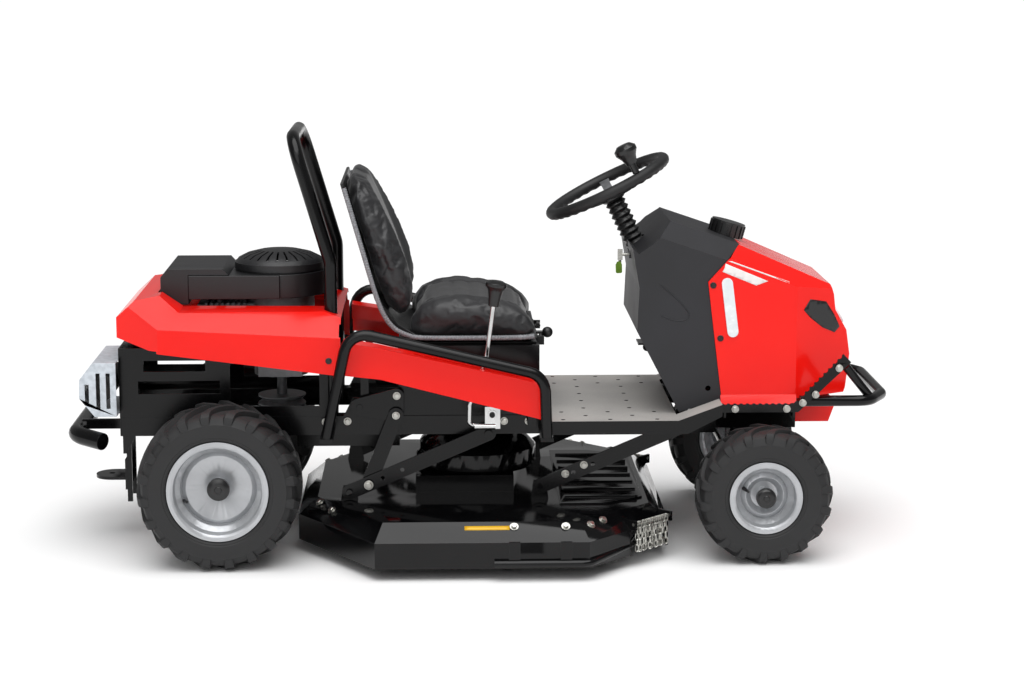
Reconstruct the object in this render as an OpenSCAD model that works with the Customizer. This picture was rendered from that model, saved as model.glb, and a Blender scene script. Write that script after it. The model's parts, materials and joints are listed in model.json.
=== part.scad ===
// Ride-on rough-cut mower: rear engine, belly deck on parallel lift arms, front wheel steering.
// X points forward, Y to the machine's left, Z up. The origin is on the ground under the middle.

/* [Wheels] */
// Distance between the rear and front axles
wheelbase = 1351; // [1250:1:1450]
// Outer diameter of a rear tyre
rear_tyre_d = 406; // [330:1:490]
// Width of a rear tyre
rear_tyre_w = 180; // [140:1:190]
// Diameter of a rear rim over its flanges
rear_rim_d = 250; // [200:1:280]
// Diameter of a rear axle shaft
rear_shaft_d = 25; // [18:1:32]
// Outer diameter of a front tyre
front_tyre_d = 342; // [285:1:345]
// Width of a front tyre
front_tyre_w = 130; // [100:1:140]
// Diameter of a front rim over its flanges
front_rim_d = 182; // [140:1:200]
// Diameter of a front stub axle
front_shaft_d = 20; // [14:1:24]
// Distance between the middles of the two wheels of an axle
track = 680; // [640:1:760]

/* [Frame] */
// Width over the two side rails
frame_w = 410; // [340:1:420]
// Height of a side rail
rail_h = 48; // [40:1:58]
// Height of the rails' top face above the ground
rail_top = 345; // [340:1:352]
// Sheet thickness of the rails and side plates
sheet_t = 4; // [3:0.5:6]
// Diameter of the lift arm pivot shafts
pivot_d = 20; // [16:1:24]
// Width of the floorboard
floor_w = 610; // [540:1:640]
// Height of the roll bar's top above the ground
roll_top = 1063; // [900:1:1270]
// Diameter of the roll bar tube
roll_d = 33; // [26:1:40]
// Diameter of the side guard rail tube
guard_d = 28; // [22:1:34]

/* [Deck] */
// Width of the cutting deck
deck_w = 1030; // [860:1:1240]
// Length of the cutting deck
deck_l = 932; // [880:1:960]
// Height of the deck's lower edge above the ground
deck_low = 30; // [25:1:40]
// Height of the deck's upright skirt
skirt_h = 65; // [55:1:78]
// Height of the sloped band above the skirt
slope_h = 40; // [34:1:46]
// Swept diameter of the blade
blade_d = 850; // [700:1:860]
// Diameter of the blade spindle
spindle_d = 30; // [24:1:36]

/* [Seat] */
// Width of the seat
seat_w = 450; // [380:1:520]
// Thickness of the seat cushion
cushion_t = 82; // [60:1:100]

/* [Steering] */
// Diameter of the steering wheel over its rim
wheel_d = 350; // [290:1:420]
// Thickness of the steering wheel rim
wheel_grip = 30; // [24:1:36]
// Diameter of the steering shaft
steer_shaft_d = 22; // [18:1:26]
// Lean of the steering shaft, rearward from upright
steer_lean = 26.3; // [24:0.1:28]

/* [Clearances] */
// Radial running clearance of a shaft in its bore
run_gap = 0.06; // [0.02:0.01:0.1]
// Gap between touching curved parts on different bodies
free_gap = 0.4; // [0.3:0.1:1]

/* [Hidden] */
$fn = 48;

// Axles
rear_x = -645;
front_x = rear_x + wheelbase;
rear_z = rear_tyre_d / 2;
front_z = front_tyre_d / 2;
wheel_y = track / 2;

// Frame
frame_y = frame_w / 2;
rail_low = rail_top - rail_h;
rail_flange = 36;
frame_rear = -903;
rail_front = 600;
plate_top = 530;
engine_plate_z = 500;
hood_w = 600;
hood_front = -346;
floor_z = 342;
floor_rear = 180;
floor_front = 497;
ramp_rise = 40;
ramp_l = 108;
seat_box_rear = -205;
seat_box_front = 152;
seat_box_top = 524;
tilt_pivot = [160, 527];
tilt_pin_d = 6;
hitch_bore_d = 16;

// Side panel: its top edge falls from rear to front
panel_y = 330;
panel_ledge = 62;
panel_top = [[-338, 556], [-259, 543], [150, 450]];
panel_low = [[150, 360], [-248, 463], [-338, 473]];

// Lift linkage: both arms share one vector, so the deck stays level
arm_dx = 352;
arm_dz = 150;
front_pivot = [504, 318];
rear_pivot = [22, 306];
arm_w = 38;
arm_t = 6;
arm_y = 240;
crank_pivot = [-303, 371];
crank_end = [-211, 352];
strap_foot = [-281, 176];
strap_play = 6;
crank_y = 216;
strap_y = 228;
bolt_d = 12;
deck_pin_front = [front_pivot[0] - arm_dx, front_pivot[1] - arm_dz];
deck_pin_rear = [rear_pivot[0] - arm_dx, rear_pivot[1] - arm_dz];

// Deck
deck_rear = -460;
deck_front = deck_rear + deck_l;
deck_y = deck_w / 2;
deck_mid_x = -8;
skirt_top = deck_low + skirt_h;
deck_top = skirt_top + slope_h;
deck_wall = 4;
dome_r = 158;
dome_low = 178;
dome_top = 294;

// Chains: they hang on a bar along the front corner, a little outside the wall
chain_bar_d = 8;
chain_count = 12;
chain_l = 142;
chain_drop = 70;
chain_out = 9;
lug_t = 6;
corner_a = [262, -deck_y];
corner_b = [deck_front, -305];
corner_u = (corner_b - corner_a) / norm(corner_b - corner_a);
chain_a = corner_a + corner_u * (norm(corner_b - corner_a) - chain_l - 4) + chain_out * [corner_u[1], -corner_u[0]];
chain_z = skirt_top + 16;

// Lever
lever_pivot = [30, 366];
lever_y = 296;
lever_d = 12;
slot_w = 16;

// Steering
hub_x = 335;
hub_z = 905;
steer_shaft_l = 640;
boot_r = 28;
boot_folds = 8;
kingpin_y = 250;
kingpin_d = 22;
beam_z = 220;
arm_back = 90;
tie_z = 262;

// ---- helpers ----
function unit(v) = v / norm(v);
function bend(a, b, c, r, n = 6) =
    let (u = unit(a - b), v = unit(c - b), half = acos(u * v) / 2,
         cut = min(r / tan(half), norm(a - b) * 0.49, norm(c - b) * 0.49),
         rr = cut * tan(half), mid = unit(u + v), w = unit(v - u),
         centre = b + mid * rr / sin(half))
    [for (k = [0 : n]) let (t = (k / n * 2 - 1) * (90 - half)) centre + rr * (sin(t) * w - cos(t) * mid)];
function route(p, r) =
    [for (i = [0 : len(p) - 1])
        each (i == 0 || i == len(p) - 1) ? [p[i]] : bend(p[i - 1], p[i], p[i + 1], r)];
function heading(q, i) = unit(q[min(i + 1, len(q) - 1)] - q[max(i - 1, 0)]);
function across(n, t) = unit(n - (n * t) * t);

// Round tube swept along a path with bent corners; side is any vector off the path's start
module bent_tube(points, d, corner, side, sides = 16) {
    q = route(points, corner);
    count = len(q);
    normals = [for (i = 0, n = across(side, heading(q, 0)); i < count;
                    i = i + 1, n = i < count ? across(n, heading(q, i)) : n) n];
    rings = [for (i = [0 : count - 1], k = [0 : sides - 1])
        let (n = normals[i], b = cross(heading(q, i), n))
        q[i] + d / 2 * (cos(360 * k / sides) * n + sin(360 * k / sides) * b)];
    walls = [for (i = [0 : count - 2], k = [0 : sides - 1])
        let (a = i * sides + k, c = i * sides + (k + 1) % sides)
        each [[a, a + sides, c], [c, a + sides, c + sides]]];
    ends = [[for (k = [0 : sides - 1]) k], [for (k = [sides - 1 : -1 : 0]) (count - 1) * sides + k]];
    polyhedron(points = rings, faces = concat(walls, ends), convexity = 6);
}

// Flat outline in X and Z, given thickness t from y towards +Y
module upright(points, y, t) translate([0, y + t, 0]) rotate([90, 0, 0]) linear_extrude(t) polygon(points);
module at_xz(p, y = 0) translate([p[0], y, p[1]]) children();
// Cylinder along Y between two Y values
module pin_y(p, d, y0, y1) translate([p[0], y0, p[1]]) rotate([-90, 0, 0]) cylinder(d = d, h = y1 - y0);
module block(x0, x1, y0, y1, z0, z1) translate([x0, y0, z0]) cube([x1 - x0, y1 - y0, z1 - z0]);
module both() {
    children();
    mirror([0, 1, 0]) children();
}
// Flat bar with round ends between two X-Z points
module bar2d(a, b, w) {
    v = b - a;
    translate(a) circle(d = w);
    translate(b) circle(d = w);
    translate(a) rotate(atan2(v[1], v[0])) translate([0, -w / 2]) square([norm(v), w]);
}
module flat_bar(a, b, w, y, t) translate([0, y + t, 0]) rotate([90, 0, 0]) linear_extrude(t) bar2d(a, b, w);

// ---- frame ----
module side_rail() {
    difference() {
        block(frame_rear, rail_front, -frame_y, -frame_y + rail_flange, rail_low, rail_top);
        block(frame_rear - 1, rail_front + 1, -frame_y + sheet_t, -frame_y + rail_flange + 1,
              rail_low + sheet_t, rail_top - sheet_t);
    }
    // Rear side plate with its windows
    difference() {
        block(frame_rear - 4, -382, -frame_y, -frame_y + sheet_t, rail_top - 2, plate_top - 8);
        for (w = [[-845, -690, 462, 490], [-859, -654, 405, 438], [-628, -404, 372, 505]])
            block(w[0], w[1], -frame_y - 1, -frame_y + sheet_t + 1, w[2], w[3]);
    }
    // Foot below the rear corner
    upright([[-901, rail_low + 1], [-868, rail_low + 1], [-893, 252], [-901, 252]], -frame_y, sheet_t);
    // Guard rail brackets
    for (x = [-380, 164]) block(x - 16, x + 16, -372, -frame_y + 1, 312, 322);
    block(-400, -360, -frame_y - 6, -frame_y + 1, 308, rail_top - 4);
    block(144, 184, -frame_y - 6, -frame_y + 1, 308, rail_top - 4);
    // Bell crank boss
    pin_y(crank_pivot, 22, -crank_y + 6, -frame_y + 2);
    pin_y(crank_pivot, 16, -crank_y - 8, -frame_y + 2);
    upright([[-345, rail_top - 2], [-270, rail_top - 2], [-285, 392], [-320, 392]], -frame_y, sheet_t);
    // Lever bracket stub
    block(12, 52, -frame_y - 6, -frame_y + 1, rail_low + 4, 388);
    pin_y(lever_pivot, 14, -lever_y - 8, -frame_y - 1);
    // Side panel brackets
    block(-300, -280, -panel_y + sheet_t - 1, -frame_y + 1, 470, 474);
    block(-300, -280, -frame_y, -frame_y + sheet_t, rail_top - 2, 474);
    block(118, 138, -panel_y + sheet_t - 1, -frame_y + 1, rail_top - 4, rail_top);
    block(118, 138, -panel_y + sheet_t - 1, -panel_y + sheet_t + 3, rail_top - 4, 375);
}

module tilt_box() {
    // Hinge lugs and pins of the tilting seat plate
    both() {
        block(seat_box_front - 3, tilt_pivot[0] + 7, -126, -118, 512, tilt_pivot[1] + 7);
        pin_y(tilt_pivot, tilt_pin_d, -126, -80);
    }
    difference() {
        block(seat_box_rear, seat_box_front, -frame_y + 4, frame_y - 4, rail_top, seat_box_top);
        block(seat_box_rear + 3, seat_box_front - 3, -frame_y + 7, frame_y - 7, rail_top - 1, seat_box_top - 3);
        block(seat_box_rear - 1, seat_box_rear + 4, -120, 120, rail_top - 1, 470);
    }
}

module hitch() {
    for (y = [-46, 40]) block(-915, frame_rear + 1, y, y + 6, 88, rail_low + 14);
    difference() {
        union() {
            block(-955, -914, -46, 46, 146, 154);
            translate([-955, 0, 146]) cylinder(d = 92, h = 8);
        }
        translate([-960, 0, 140]) cylinder(d = hitch_bore_d, h = 20);
    }
    block(-920, -914, -46, 46, 120, 200);
}

module whole_frame() difference() {
    union() {
        both() side_rail();
        // Rear panel, cross members and engine plate
        block(frame_rear - 4, frame_rear, -frame_y, frame_y, rail_low, plate_top - 8);
        block(-800, -770, -frame_y + 2, frame_y - 2, rail_low, rail_low + 22);
        block(-420, -390, -frame_y + 2, frame_y - 2, rail_low, rail_low + 22);
        block(560, 590, -frame_y + 2, frame_y - 2, rail_low, rail_top);
        difference() {
            block(-760, -400, -frame_y + 2, frame_y - 2, engine_plate_z, engine_plate_z + 5);
            block(-584, -440, -167, 152, engine_plate_z - 1, engine_plate_z + 6);
        }
        // Belt tunnel
        difference() {
            block(-470, -205, -70, 70, 238, rail_low);
            block(-471, -204, -66, 66, 237, rail_low - 6);
        }
        block(-420, -390, -69, 69, rail_low - 1, rail_low + 2);
        // Lift arm shafts
        pin_y(front_pivot, pivot_d, -arm_y - 14, arm_y + 14);
        for (p = [front_pivot, rear_pivot]) both() {
            pin_y(p, pivot_d, -arm_y - 14, -frame_y + sheet_t);
            pin_y(p, pivot_d + 12, -arm_y + arm_t + free_gap, -frame_y + sheet_t);
        }
        hitch();
        // Front subframe and axle bracket
        both() block(590 - 1, 812, -150, -145, rail_low, rail_top + 40);
        for (x = [590, 676, 740, 806]) block(x, x + 6, -150, 150, rail_low, rail_top + 40);
        for (x = [front_x - 48, front_x + 38]) block(x, x + 10, -44, 44, beam_z - 34, rail_low + 2);
        block(front_x - 48, front_x + 48, -44, 44, rail_low - 4, rail_low + 4);
        translate([front_x - 58, 0, beam_z]) rotate([0, 90, 0]) cylinder(d = 24, h = 116);
        for (x = [614, 788]) both() block(x, x + 6, -step_y + 2, -149, 346, 365.8);
        // Steering shaft's lower bearing and the fuel tank's cradle
        on_column() translate([0, 0, -steer_shaft_l - 8]) cylinder(r = 24, h = 90);
        for (x = [642, 780]) both() block(x, x + 5, -110, -80, rail_top + 30, 559.8);
        both() block(642, 785, -110, -80, rail_top + 30, rail_top + 36);
        // Cowl posts
        both() block(536, 590, -cowl_y + 3.7, -frame_y + 34, rail_top - 1, 384);
        // Hood stay
        both() block(-760, -740, -hood_w / 2 + 3.1, -frame_y + 1, plate_top - 12, plate_top - 8);
        both() block(-420, -400, -hood_w / 2 + 3.1, -frame_y + 1, plate_top - 12, plate_top - 8);
        // Front pivot hangers
        both() block(front_pivot[0] - 22, front_pivot[0] + 22, -frame_y, -frame_y + sheet_t, rail_low - 4, rail_top - 2);
    }
    // Roll bar sockets stand clear in the top flange
    both() translate([-373, -190, rail_low + sheet_t]) cylinder(d = roll_d + 0.6, h = 400);
    on_column() translate([0, 0, -steer_shaft_l - 20]) cylinder(d = steer_shaft_d + 2 * run_gap, h = 300);
}

// The welded frame parts along its weld planes
module front_region() {
    block(rail_front, 900, -300, 300, 150, 700);
    block(590, rail_front, -frame_y + rail_flange, frame_y - rail_flange, 150, 700);
    on_column() translate([0, 0, -steer_shaft_l - 9]) cylinder(r = 25, h = 92);
}
module rail_region() block(frame_rear, rail_front, -frame_y, frame_y, 200, rail_top);
module rear_region() {
    block(frame_rear - 4, frame_rear, -frame_y, frame_y, rail_low, 600);
    block(frame_rear, -382, -frame_y, frame_y, rail_top, 600);
}
module seat_region() block(seat_box_rear - 1, tilt_pivot[0] + 20, -frame_y + 3, frame_y - 3, rail_top, 600);
module main_frame() color("#161618") difference() {
    intersection() {
        whole_frame();
        rail_region();
    }
    front_region();
}
module rear_plates() color("#161618") intersection() {
    whole_frame();
    rear_region();
}
module seat_box() color("#161618") tilt_box();
module front_subframe() color("#161618") intersection() {
    whole_frame();
    front_region();
}
module frame_brackets() color("#161618") difference() {
    whole_frame();
    front_region();
    rail_region();
    rear_region();
    seat_region();
}

module transaxle() color("#6a6c70") difference() {
    union() {
        translate([rear_x, 75, rear_z]) rotate([90, 0, 0]) cylinder(r = 60, h = 150);
        both() translate([rear_x, -60, rear_z]) rotate([90, 0, 0]) cylinder(r = 29, h = 135);
        both() block(rear_x - 34, rear_x + 34, -190, -165, rear_z, rail_low);
        block(rear_x - 34, rear_x + 60, -60, 60, rear_z, rear_z + 72);
        translate([rear_x + 60, 0, rear_z + 40]) cylinder(r = 30, h = 34);
    }
    both() translate([rear_x, 10, rear_z]) rotate([90, 0, 0]) cylinder(d = rear_shaft_d + 2 * run_gap, h = 220);
}

// ---- engine ----
engine_x = -512;
shroud_top = 694;
module engine_block() color("#8d9094") difference() {
    union() {
        translate([engine_x, 0, engine_plate_z + 5]) cylinder(r = 104, h = 60);
        translate([engine_x, 0, engine_plate_z + 64]) cylinder(r = 88, h = 66);
        block(-690, engine_x, -62, 62, engine_plate_z + 24, engine_plate_z + 112);
        for (i = [0 : 7]) block(-700 + i * 14, -694 + i * 14, -76, 76, engine_plate_z + 12, engine_plate_z + 116);
        block(-722, -688, -52, 52, engine_plate_z + 26, engine_plate_z + 108);
        // Posts under the blower housing
        for (y = [-50, 50]) translate([-665, y, engine_plate_z + 100]) cylinder(r = 8, h = shroud_top - 4 - engine_plate_z - 100);
        // Sump under the plate
        block(-560, -450, -165, 150, 440, engine_plate_z);
        translate([engine_x, 0, 420]) cylinder(r = 70, h = 85);
    }
    translate([engine_x, 0, 400]) cylinder(d = 26 + 2 * run_gap, h = 400);
}

module crank_pulley() color("#8d9094") translate([engine_x, 0, 0]) {
    translate([0, 0, 300]) cylinder(d = 26, h = 370);
    for (z = [306, 338]) rotate_extrude() polygon([[12, z], [62, z], [62, z + 4], [50, z + 13], [62, z + 22], [62, z + 26], [12, z + 26]]);
    // Flywheel fan
    translate([0, 0, 652]) cylinder(r = 84, h = 8);
    for (a = [0 : 30 : 330]) rotate(a) translate([52, -1.5, 658]) cube([30, 3, 16]);
}

module muffler() color("#3a3a3c") {
    translate([-948, -222, 426]) rotate([-90, 0, 0]) cylinder(r = 34, h = 190);
    difference() {
        block(-950, frame_rear - 4.2, -150, -110, 420, 432);
        translate([-948, -222, 426]) rotate([-90, 0, 0]) cylinder(r = 30, h = 190);
    }
}

module engine_shroud() color("#232326") {
    blower_housing();
    air_filter_cover();
}
module blower_housing() difference() {
    union() {
        translate([0, 0, 634]) linear_extrude(60) {
            translate([engine_x, 0]) circle(r = 122);
            translate([-735, -132]) square([230, 264]);
        }
        translate([engine_x, 0, 690]) cylinder(r = 112, h = 8);
    }
    translate([0, 0, 633]) linear_extrude(57) {
        translate([engine_x, 0]) circle(r = 118);
        translate([-731, -128]) square([222, 256]);
    }
    translate([engine_x, 0, 680]) cylinder(r = 92, h = 30);
}

module air_filter_cover() difference() {
    upright([[-796, 620], [-806, 634], [-806, 690], [-788, 712], [-648, 712], [-632, 694.2], [-735.2, 694.2],
             [-735.2, 620]], -128, 250);
    upright([[-792, 619], [-801, 637], [-801, 688], [-786, 707], [-744, 707], [-744, 619]], -122, 238);
}

module fan_cover() color("#1d1d20") difference() {
    union() {
        translate([engine_x, 0, 698.2]) cylinder(r = 116, h = 17);
        translate([engine_x, 0, 698.2]) rotate_extrude() polygon([[0, 16], [114, 16], [106, 26], [84, 37], [52, 45], [30, 48], [0, 48]]);
    }
    translate([engine_x, 0, 698]) rotate_extrude() polygon([[0, -1], [112, -1], [112, 14], [104, 22], [82, 33], [50, 41], [0, 41]]);
    for (a = [0 : 15 : 345]) translate([engine_x, 0, 700]) rotate(a) translate([50, -2.5, 8]) cube([52, 5, 60]);
}

module heat_shield() color("#aab4be") {
    shield = [[-905, 358], [-960, 358], [-998, 405], [-996, 452], [-963, 494], [-905, 494]];
    inner = [[-904, 360.5], [-959, 360.5], [-995.5, 406], [-993.5, 451], [-962, 491.5], [-904, 491.5]];
    translate([-2.2, 0, 0]) difference() {
        upright(shield, -256, 252);
        upright(inner, -253.5, 260);
        for (w = [[-978, 388, 440], [-950, 378, 468], [-925, 378, 468]])
            for (k = [0]) block(w[0] - 5, w[0] + 5, -260, -250, w[1], w[2]);
    }
}

module rear_bumper() color("#232326") {
    z = 296;
    bow = [[-948, -228, z - 8], [-1024, -176, z], [-1024, 176, z], [-948, 228, z - 8]];
    bent_tube(bow, 44, 62, [0, 0, 1]);
    both() difference() {
        block(-1016, frame_rear - 4.2, -120, -112, z + 2, z + 28);
        block(-1050, -1004, -130, -100, z - 30, z + 21.5);
    }
}

// ---- red bodywork ----
module hood_solid(inset) intersection() {
    // Plan with cut rear corners
    translate([0, 0, 400]) linear_extrude(300)
        polygon([[-908 + inset, -214], [-796, -hood_w / 2 + inset], [hood_front, -hood_w / 2 + inset],
                 [hood_front, hood_w / 2 - inset], [-796, hood_w / 2 - inset], [-908 + inset, 214]]);
    upright([[-909, 552], [-796, 524], [hood_front, 466], [hood_front, 603 - inset], [-388, 617 - inset],
             [-748, 619 - inset], [-800, 655 - inset], [-862, 645 - inset], [-909, 602 - inset]], -310, 620);
    // Cross section with sloped shoulders, tilted a little to the rear
    translate([-470, 0, 0]) rotate([0, 3, 0]) rotate([90, 0, 90]) translate([0, 0, -500]) linear_extrude(700)
        polygon([[-330, 380], [330, 380], [330, 400], [hood_w / 2 - inset + 1, 566], [200, 640 - inset], [150, 700],
                 [-150, 700], [-200, 640 - inset], [-hood_w / 2 + inset - 1, 566], [-330, 400]]);
}

module engine_hood() color("#e0201b") difference() {
    hood_solid(0);
    difference() {
        translate([0, 0, -0.01]) hood_solid(3);
        block(-920, -300, -320, 320, 600, 601);
    }
    block(-920, -340, -hood_w / 2 + 3, hood_w / 2 - 3, 380, 530);
    // Engine opening
    block(-812, -384, -136, 136, 540, 700);
    // Front is open; roll bar legs pass the shoulders
    block(-350, -340, -hood_w / 2 + 3, hood_w / 2 - 3, 400, 590);
    both() translate([-373, -190, 500]) cylinder(d = roll_d + 3, h = 200);
}

module side_panel() {
    // Outer face
    upright(concat(panel_top, panel_low), -panel_y, 3);
    // Ledge under the top edge, with the lever's slot
    difference() {
        union() {
            upright([panel_top[0], panel_top[1], panel_top[2], panel_top[2] - [0, 3], panel_top[1] - [0, 3],
                     panel_top[0] - [0, 3]], -panel_y, panel_ledge);
            upright([[147, 360], [150, 360], [150, 450], [147, 450]], -panel_y, panel_ledge);
        }
        block(-165, 96, -lever_y - slot_w / 2, -lever_y + slot_w / 2, 440, 560);
    }
    upright([panel_top[0] - [0, 1], panel_top[1] - [0, 1], panel_top[2] - [0, 1], [150, 418], [-259, 508],
             [-338, 515]], -panel_y + panel_ledge - 3, 3);
}
module side_panels() color("#e0201b") both() side_panel();

guard_path = [[-380, -370, 325.2], [-322, -370, 592], [158, -370, 478], [164, -370, 322.7]];
module guard_rail() bent_tube(guard_path, guard_d, 52, [0, 1, 0]);
module guard_rails() color("#161618") both() guard_rail();

// ---- floor ----
module floorboard() color("#3b3a39") {
    hole_pitch = 59;
    f = floor_w / 2;
    difference() {
        union() {
            block(floor_rear, floor_front, -f, f, rail_top + 0.2, rail_top + 4.2);
            both() block(floor_rear, floor_front, -f, -f + 3, rail_top - 30, rail_top + 3);
            // Ramps beside the cowl
            both() upright([[floor_front - 1, rail_top + 4.2], [floor_front + ramp_l, rail_top + ramp_rise + 4.2],
                            [floor_front + ramp_l, rail_top + ramp_rise], [floor_front - 1, rail_top]], -f, 76);
            both() upright([[floor_front - 1, rail_top + 2], [floor_front + ramp_l, rail_top + ramp_rise + 2],
                            [floor_front + ramp_l, rail_top + ramp_rise - 26], [floor_front + 22, rail_top - 30],
                            [floor_front - 1, rail_top - 30]], -f, 3);
        }
        for (c = [0 : 4]) {
            ys = c % 2 == 0 ? [-283, -190, 190, 283] : [-235, -141, -47, 47, 141, 235];
            for (y = ys) translate([208 + c * hole_pitch, y, rail_top - 5]) cylinder(d = 11, h = 20);
        }
    }
}

// ---- roll bar ----
module roll_bar() color("#161618") {
    lean_x = -465;
    foot = rail_low + sheet_t + 0.3;
    path = [[-373, -190, foot], [-373, -190, 735], [lean_x, -190, roll_top - roll_d / 2],
            [lean_x, 190, roll_top - roll_d / 2], [-373, 190, 735], [-373, 190, foot]];
    bent_tube(path, roll_d, 72, [0, 1, 0]);
}

// ---- seat ----
seat_front = 150;
seat_hinge_x = 150;
seat_rear = -200;
module seat_base() color("#1b1b1d") {
    // Tilting plate, hinged at its front edge, with two slide rails
    difference() {
        union() {
            block(-180, seat_hinge_x - 4, -170, 170, seat_box_top + 0.3, seat_box_top + 4);
            both() block(seat_hinge_x - 5, tilt_pivot[0], -117, -76, seat_box_top + 0.3, seat_box_top + 4);
            both() pin_y(tilt_pivot, tilt_pin_d + 6, -117.6, -76);
            both() block(-170, 118, -150, -118, seat_box_top + 3.5, seat_box_top + 14);
        }
        both() block(-171, 119, -141.2, -126.8, seat_box_top + 6, seat_box_top + 15);
        both() pin_y(tilt_pivot, tilt_pin_d + 2 * run_gap, -130, -70);
    }
}

pan_low = seat_box_top + 14.4;
module seat_pan() color("#1b1b1d") {
    t = 8;
    // Runners in the slide rails
    both() block(-130, 90, -141, -127, seat_box_top + 6.2, pan_low + 1);
    upright([[seat_front - 4, pan_low + 8], [seat_front - 14, pan_low], [-150, pan_low], [-212, pan_low + 34],
             [-262, 640], [-346, 935], [-338, 937], [-253, 644], [-204, pan_low + 41], [-148, pan_low + t],
             [seat_front - 16, pan_low + t]], -seat_w / 2 + 22, seat_w - 44);
}

module seat_cushion() color("#2a2a2c") {
    low = pan_low + 8.6;
    upright([[seat_front - 16, low], [seat_front, low + 22], [seat_front, low + cushion_t - 30],
             [seat_front - 26, low + cushion_t], [-60, low + cushion_t - 14], [seat_rear + 36, low + cushion_t - 6],
             [seat_rear + 22, low + cushion_t - 24], [seat_rear + 12, low + 24], [-146, low]],
            -seat_w / 2, seat_w);
}

module seat_backrest() color("#2a2a2c") {
    upright([[-252.8, 644.1], [-203.6, 581.3], [-194, 600], [-190, 712], [-206, 776], [-258, 930], [-292, 966],
             [-330, 968], [-337.7, 937.1]], -seat_w / 2 + 10, seat_w - 20);
}

module seat_knob() color("#1b1b1d") {
    z = seat_box_top + 9.2;
    translate([100, -60, z]) rotate([0, 90, 0]) cylinder(d = 9, h = seat_front - 80);
    translate([seat_front + 28, -60, z]) sphere(r = 14);
}

// ---- front bodywork ----
cowl_y = 218;
crease_y = 150;
// Section through the bonnet: upright sides, sloped shoulders from the low crease to the high one
module bonnet_section(anchor, lean, rise, side_y, inset, front) translate([anchor[0], 0, anchor[1]])
    rotate([0, lean, 0]) rotate([90, 0, 90]) translate([0, 0, -400]) linear_extrude(800)
        polygon([[-side_y + inset, -600], [side_y - inset, -600], [side_y - inset, -inset * 0.4],
                 [crease_y - inset * 0.4, rise - inset], [-crease_y + inset * 0.4, rise - inset],
                 [-side_y + inset, -inset * 0.4]]);
module cowl_solid(inset) intersection() {
    upright([[505 + inset, 353 - inset], [612 + inset * 3, 387 - inset + inset * 3 * 0.32], [574 + inset * 3, 686],
             [623 + inset * 3, 741], [660 + inset * 3, 773], [660 + inset * 3, 850],
             [494 + inset, 850], [483 + inset, 829 - inset], [438 + inset, 784 - inset], [400, 757 - inset],
             [385 + inset, 770 - inset], [402 + inset, 670], [397 + inset, 560]], -250, 500);
    bonnet_section([557, 763], 18.8, 42, cowl_y, inset);
}
module front_cowl() color("#2f2f33") difference() {
    union() {
        difference() {
            cowl_solid(0);
            cowl_solid(3.5);
        }
        // Brake pedal pivot and key switch barrel
        pin_y([560, 446], 16, cowl_y - 2, cowl_y + 22);
        translate([388, -62, 735]) rotate([0, 90, 0]) cylinder(d = 20, h = 22);
    }
    on_column() translate([0, 0, -220]) cylinder(r = boot_r + 2, h = 120);
    translate([380, -62, 735]) rotate([0, 90, 0]) cylinder(d = 8 + 2 * run_gap, h = 24);
    filler(38);
    on_filler() translate([0, 0, 2.8]) cylinder(r = 48.4, h = 60);
    // Foot slot
    both() translate([578, -cowl_y - 5, 414]) rotate([-90, 0, 0]) cylinder(d = 14, h = 12);
}

module nose_solid(inset) intersection() {
    upright([[612.2 - inset * 3, 387 - inset], [574.2 - inset * 3, 686], [623.2 - inset * 3, 741], [660.2 - inset * 3, 773],
             [660.2 - inset * 3, 850], [850, 800], [903 - inset, 644 - inset], [908 - inset, 604], [941 - inset, 548 - inset],
             [951 - inset, 485], [941 - inset, 400], [936 - inset, 387 - inset]], -250, 500);
    translate([0, 0, 370]) linear_extrude(430)
        polygon([[560, -222 + inset], [800 - inset, -222 + inset], [952 - inset, -130 + inset], [952 - inset, 130 - inset],
                 [800 - inset, 222 - inset], [560, 222 - inset]]);
    bonnet_section([740, 700], 23.5, 33, 222, inset);
}
module front_hood() color("#e0201b") {
    difference() {
        nose_solid(0);
        nose_solid(3.5);
        filler(38);
        on_filler() translate([0, 0, 2.8]) cylinder(r = 48.4, h = 60);
    }
    // Lower nose below the bumper
    difference() {
        upright([[812.3, 311], [898, 311], [916, 361.6], [812.3, 361.6]], -144, 288);
        upright([[814.3, 308], [894, 308], [911, 358], [814.3, 358]], -141, 282);
    }
}

module lamps() color("#e9eef2") {
    // Side light lenses on the hood
    both() translate([0, -222.1, 0]) rotate([90, 0, 0]) linear_extrude(5) bar2d([622, 683], [638, 560], 28);
    // Headlamps in the hood's brow
    both() translate([924.8, -70, 576.2]) rotate([0, 59.5, 0]) cylinder(r = 25, h = 8);
}

step_y = 262;
module step_guard() {
    tooth = 16;
    base = [[609, 384], [609, 361], [801, 361], [826, 378], [930, 488], [912, 508]];
    difference() {
        upright([[609, 384], [609, 361], [801, 361], [932, 488], [912, 509], [790, 384]], -step_y - 5, 5);
        for (i = [0 : 10]) translate([617 + i * tooth, -step_y - 6, 388]) rotate([-90, 0, 0]) cylinder(r = 7, h = 8);
        for (i = [0 : 9]) translate([790 + 9 + i * 11.4, -step_y - 6, 397 + i * 11.8]) rotate([-90, 0, 0]) cylinder(r = 7, h = 8);
    }
    for (p = [[641, 371], [771, 371], [811, 386], [843, 407], [901, 474]]) pin_y(p, 14, -step_y - 10, -step_y - 4.8);
}
module step_guards() color("#161618") both() step_guard();

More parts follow.
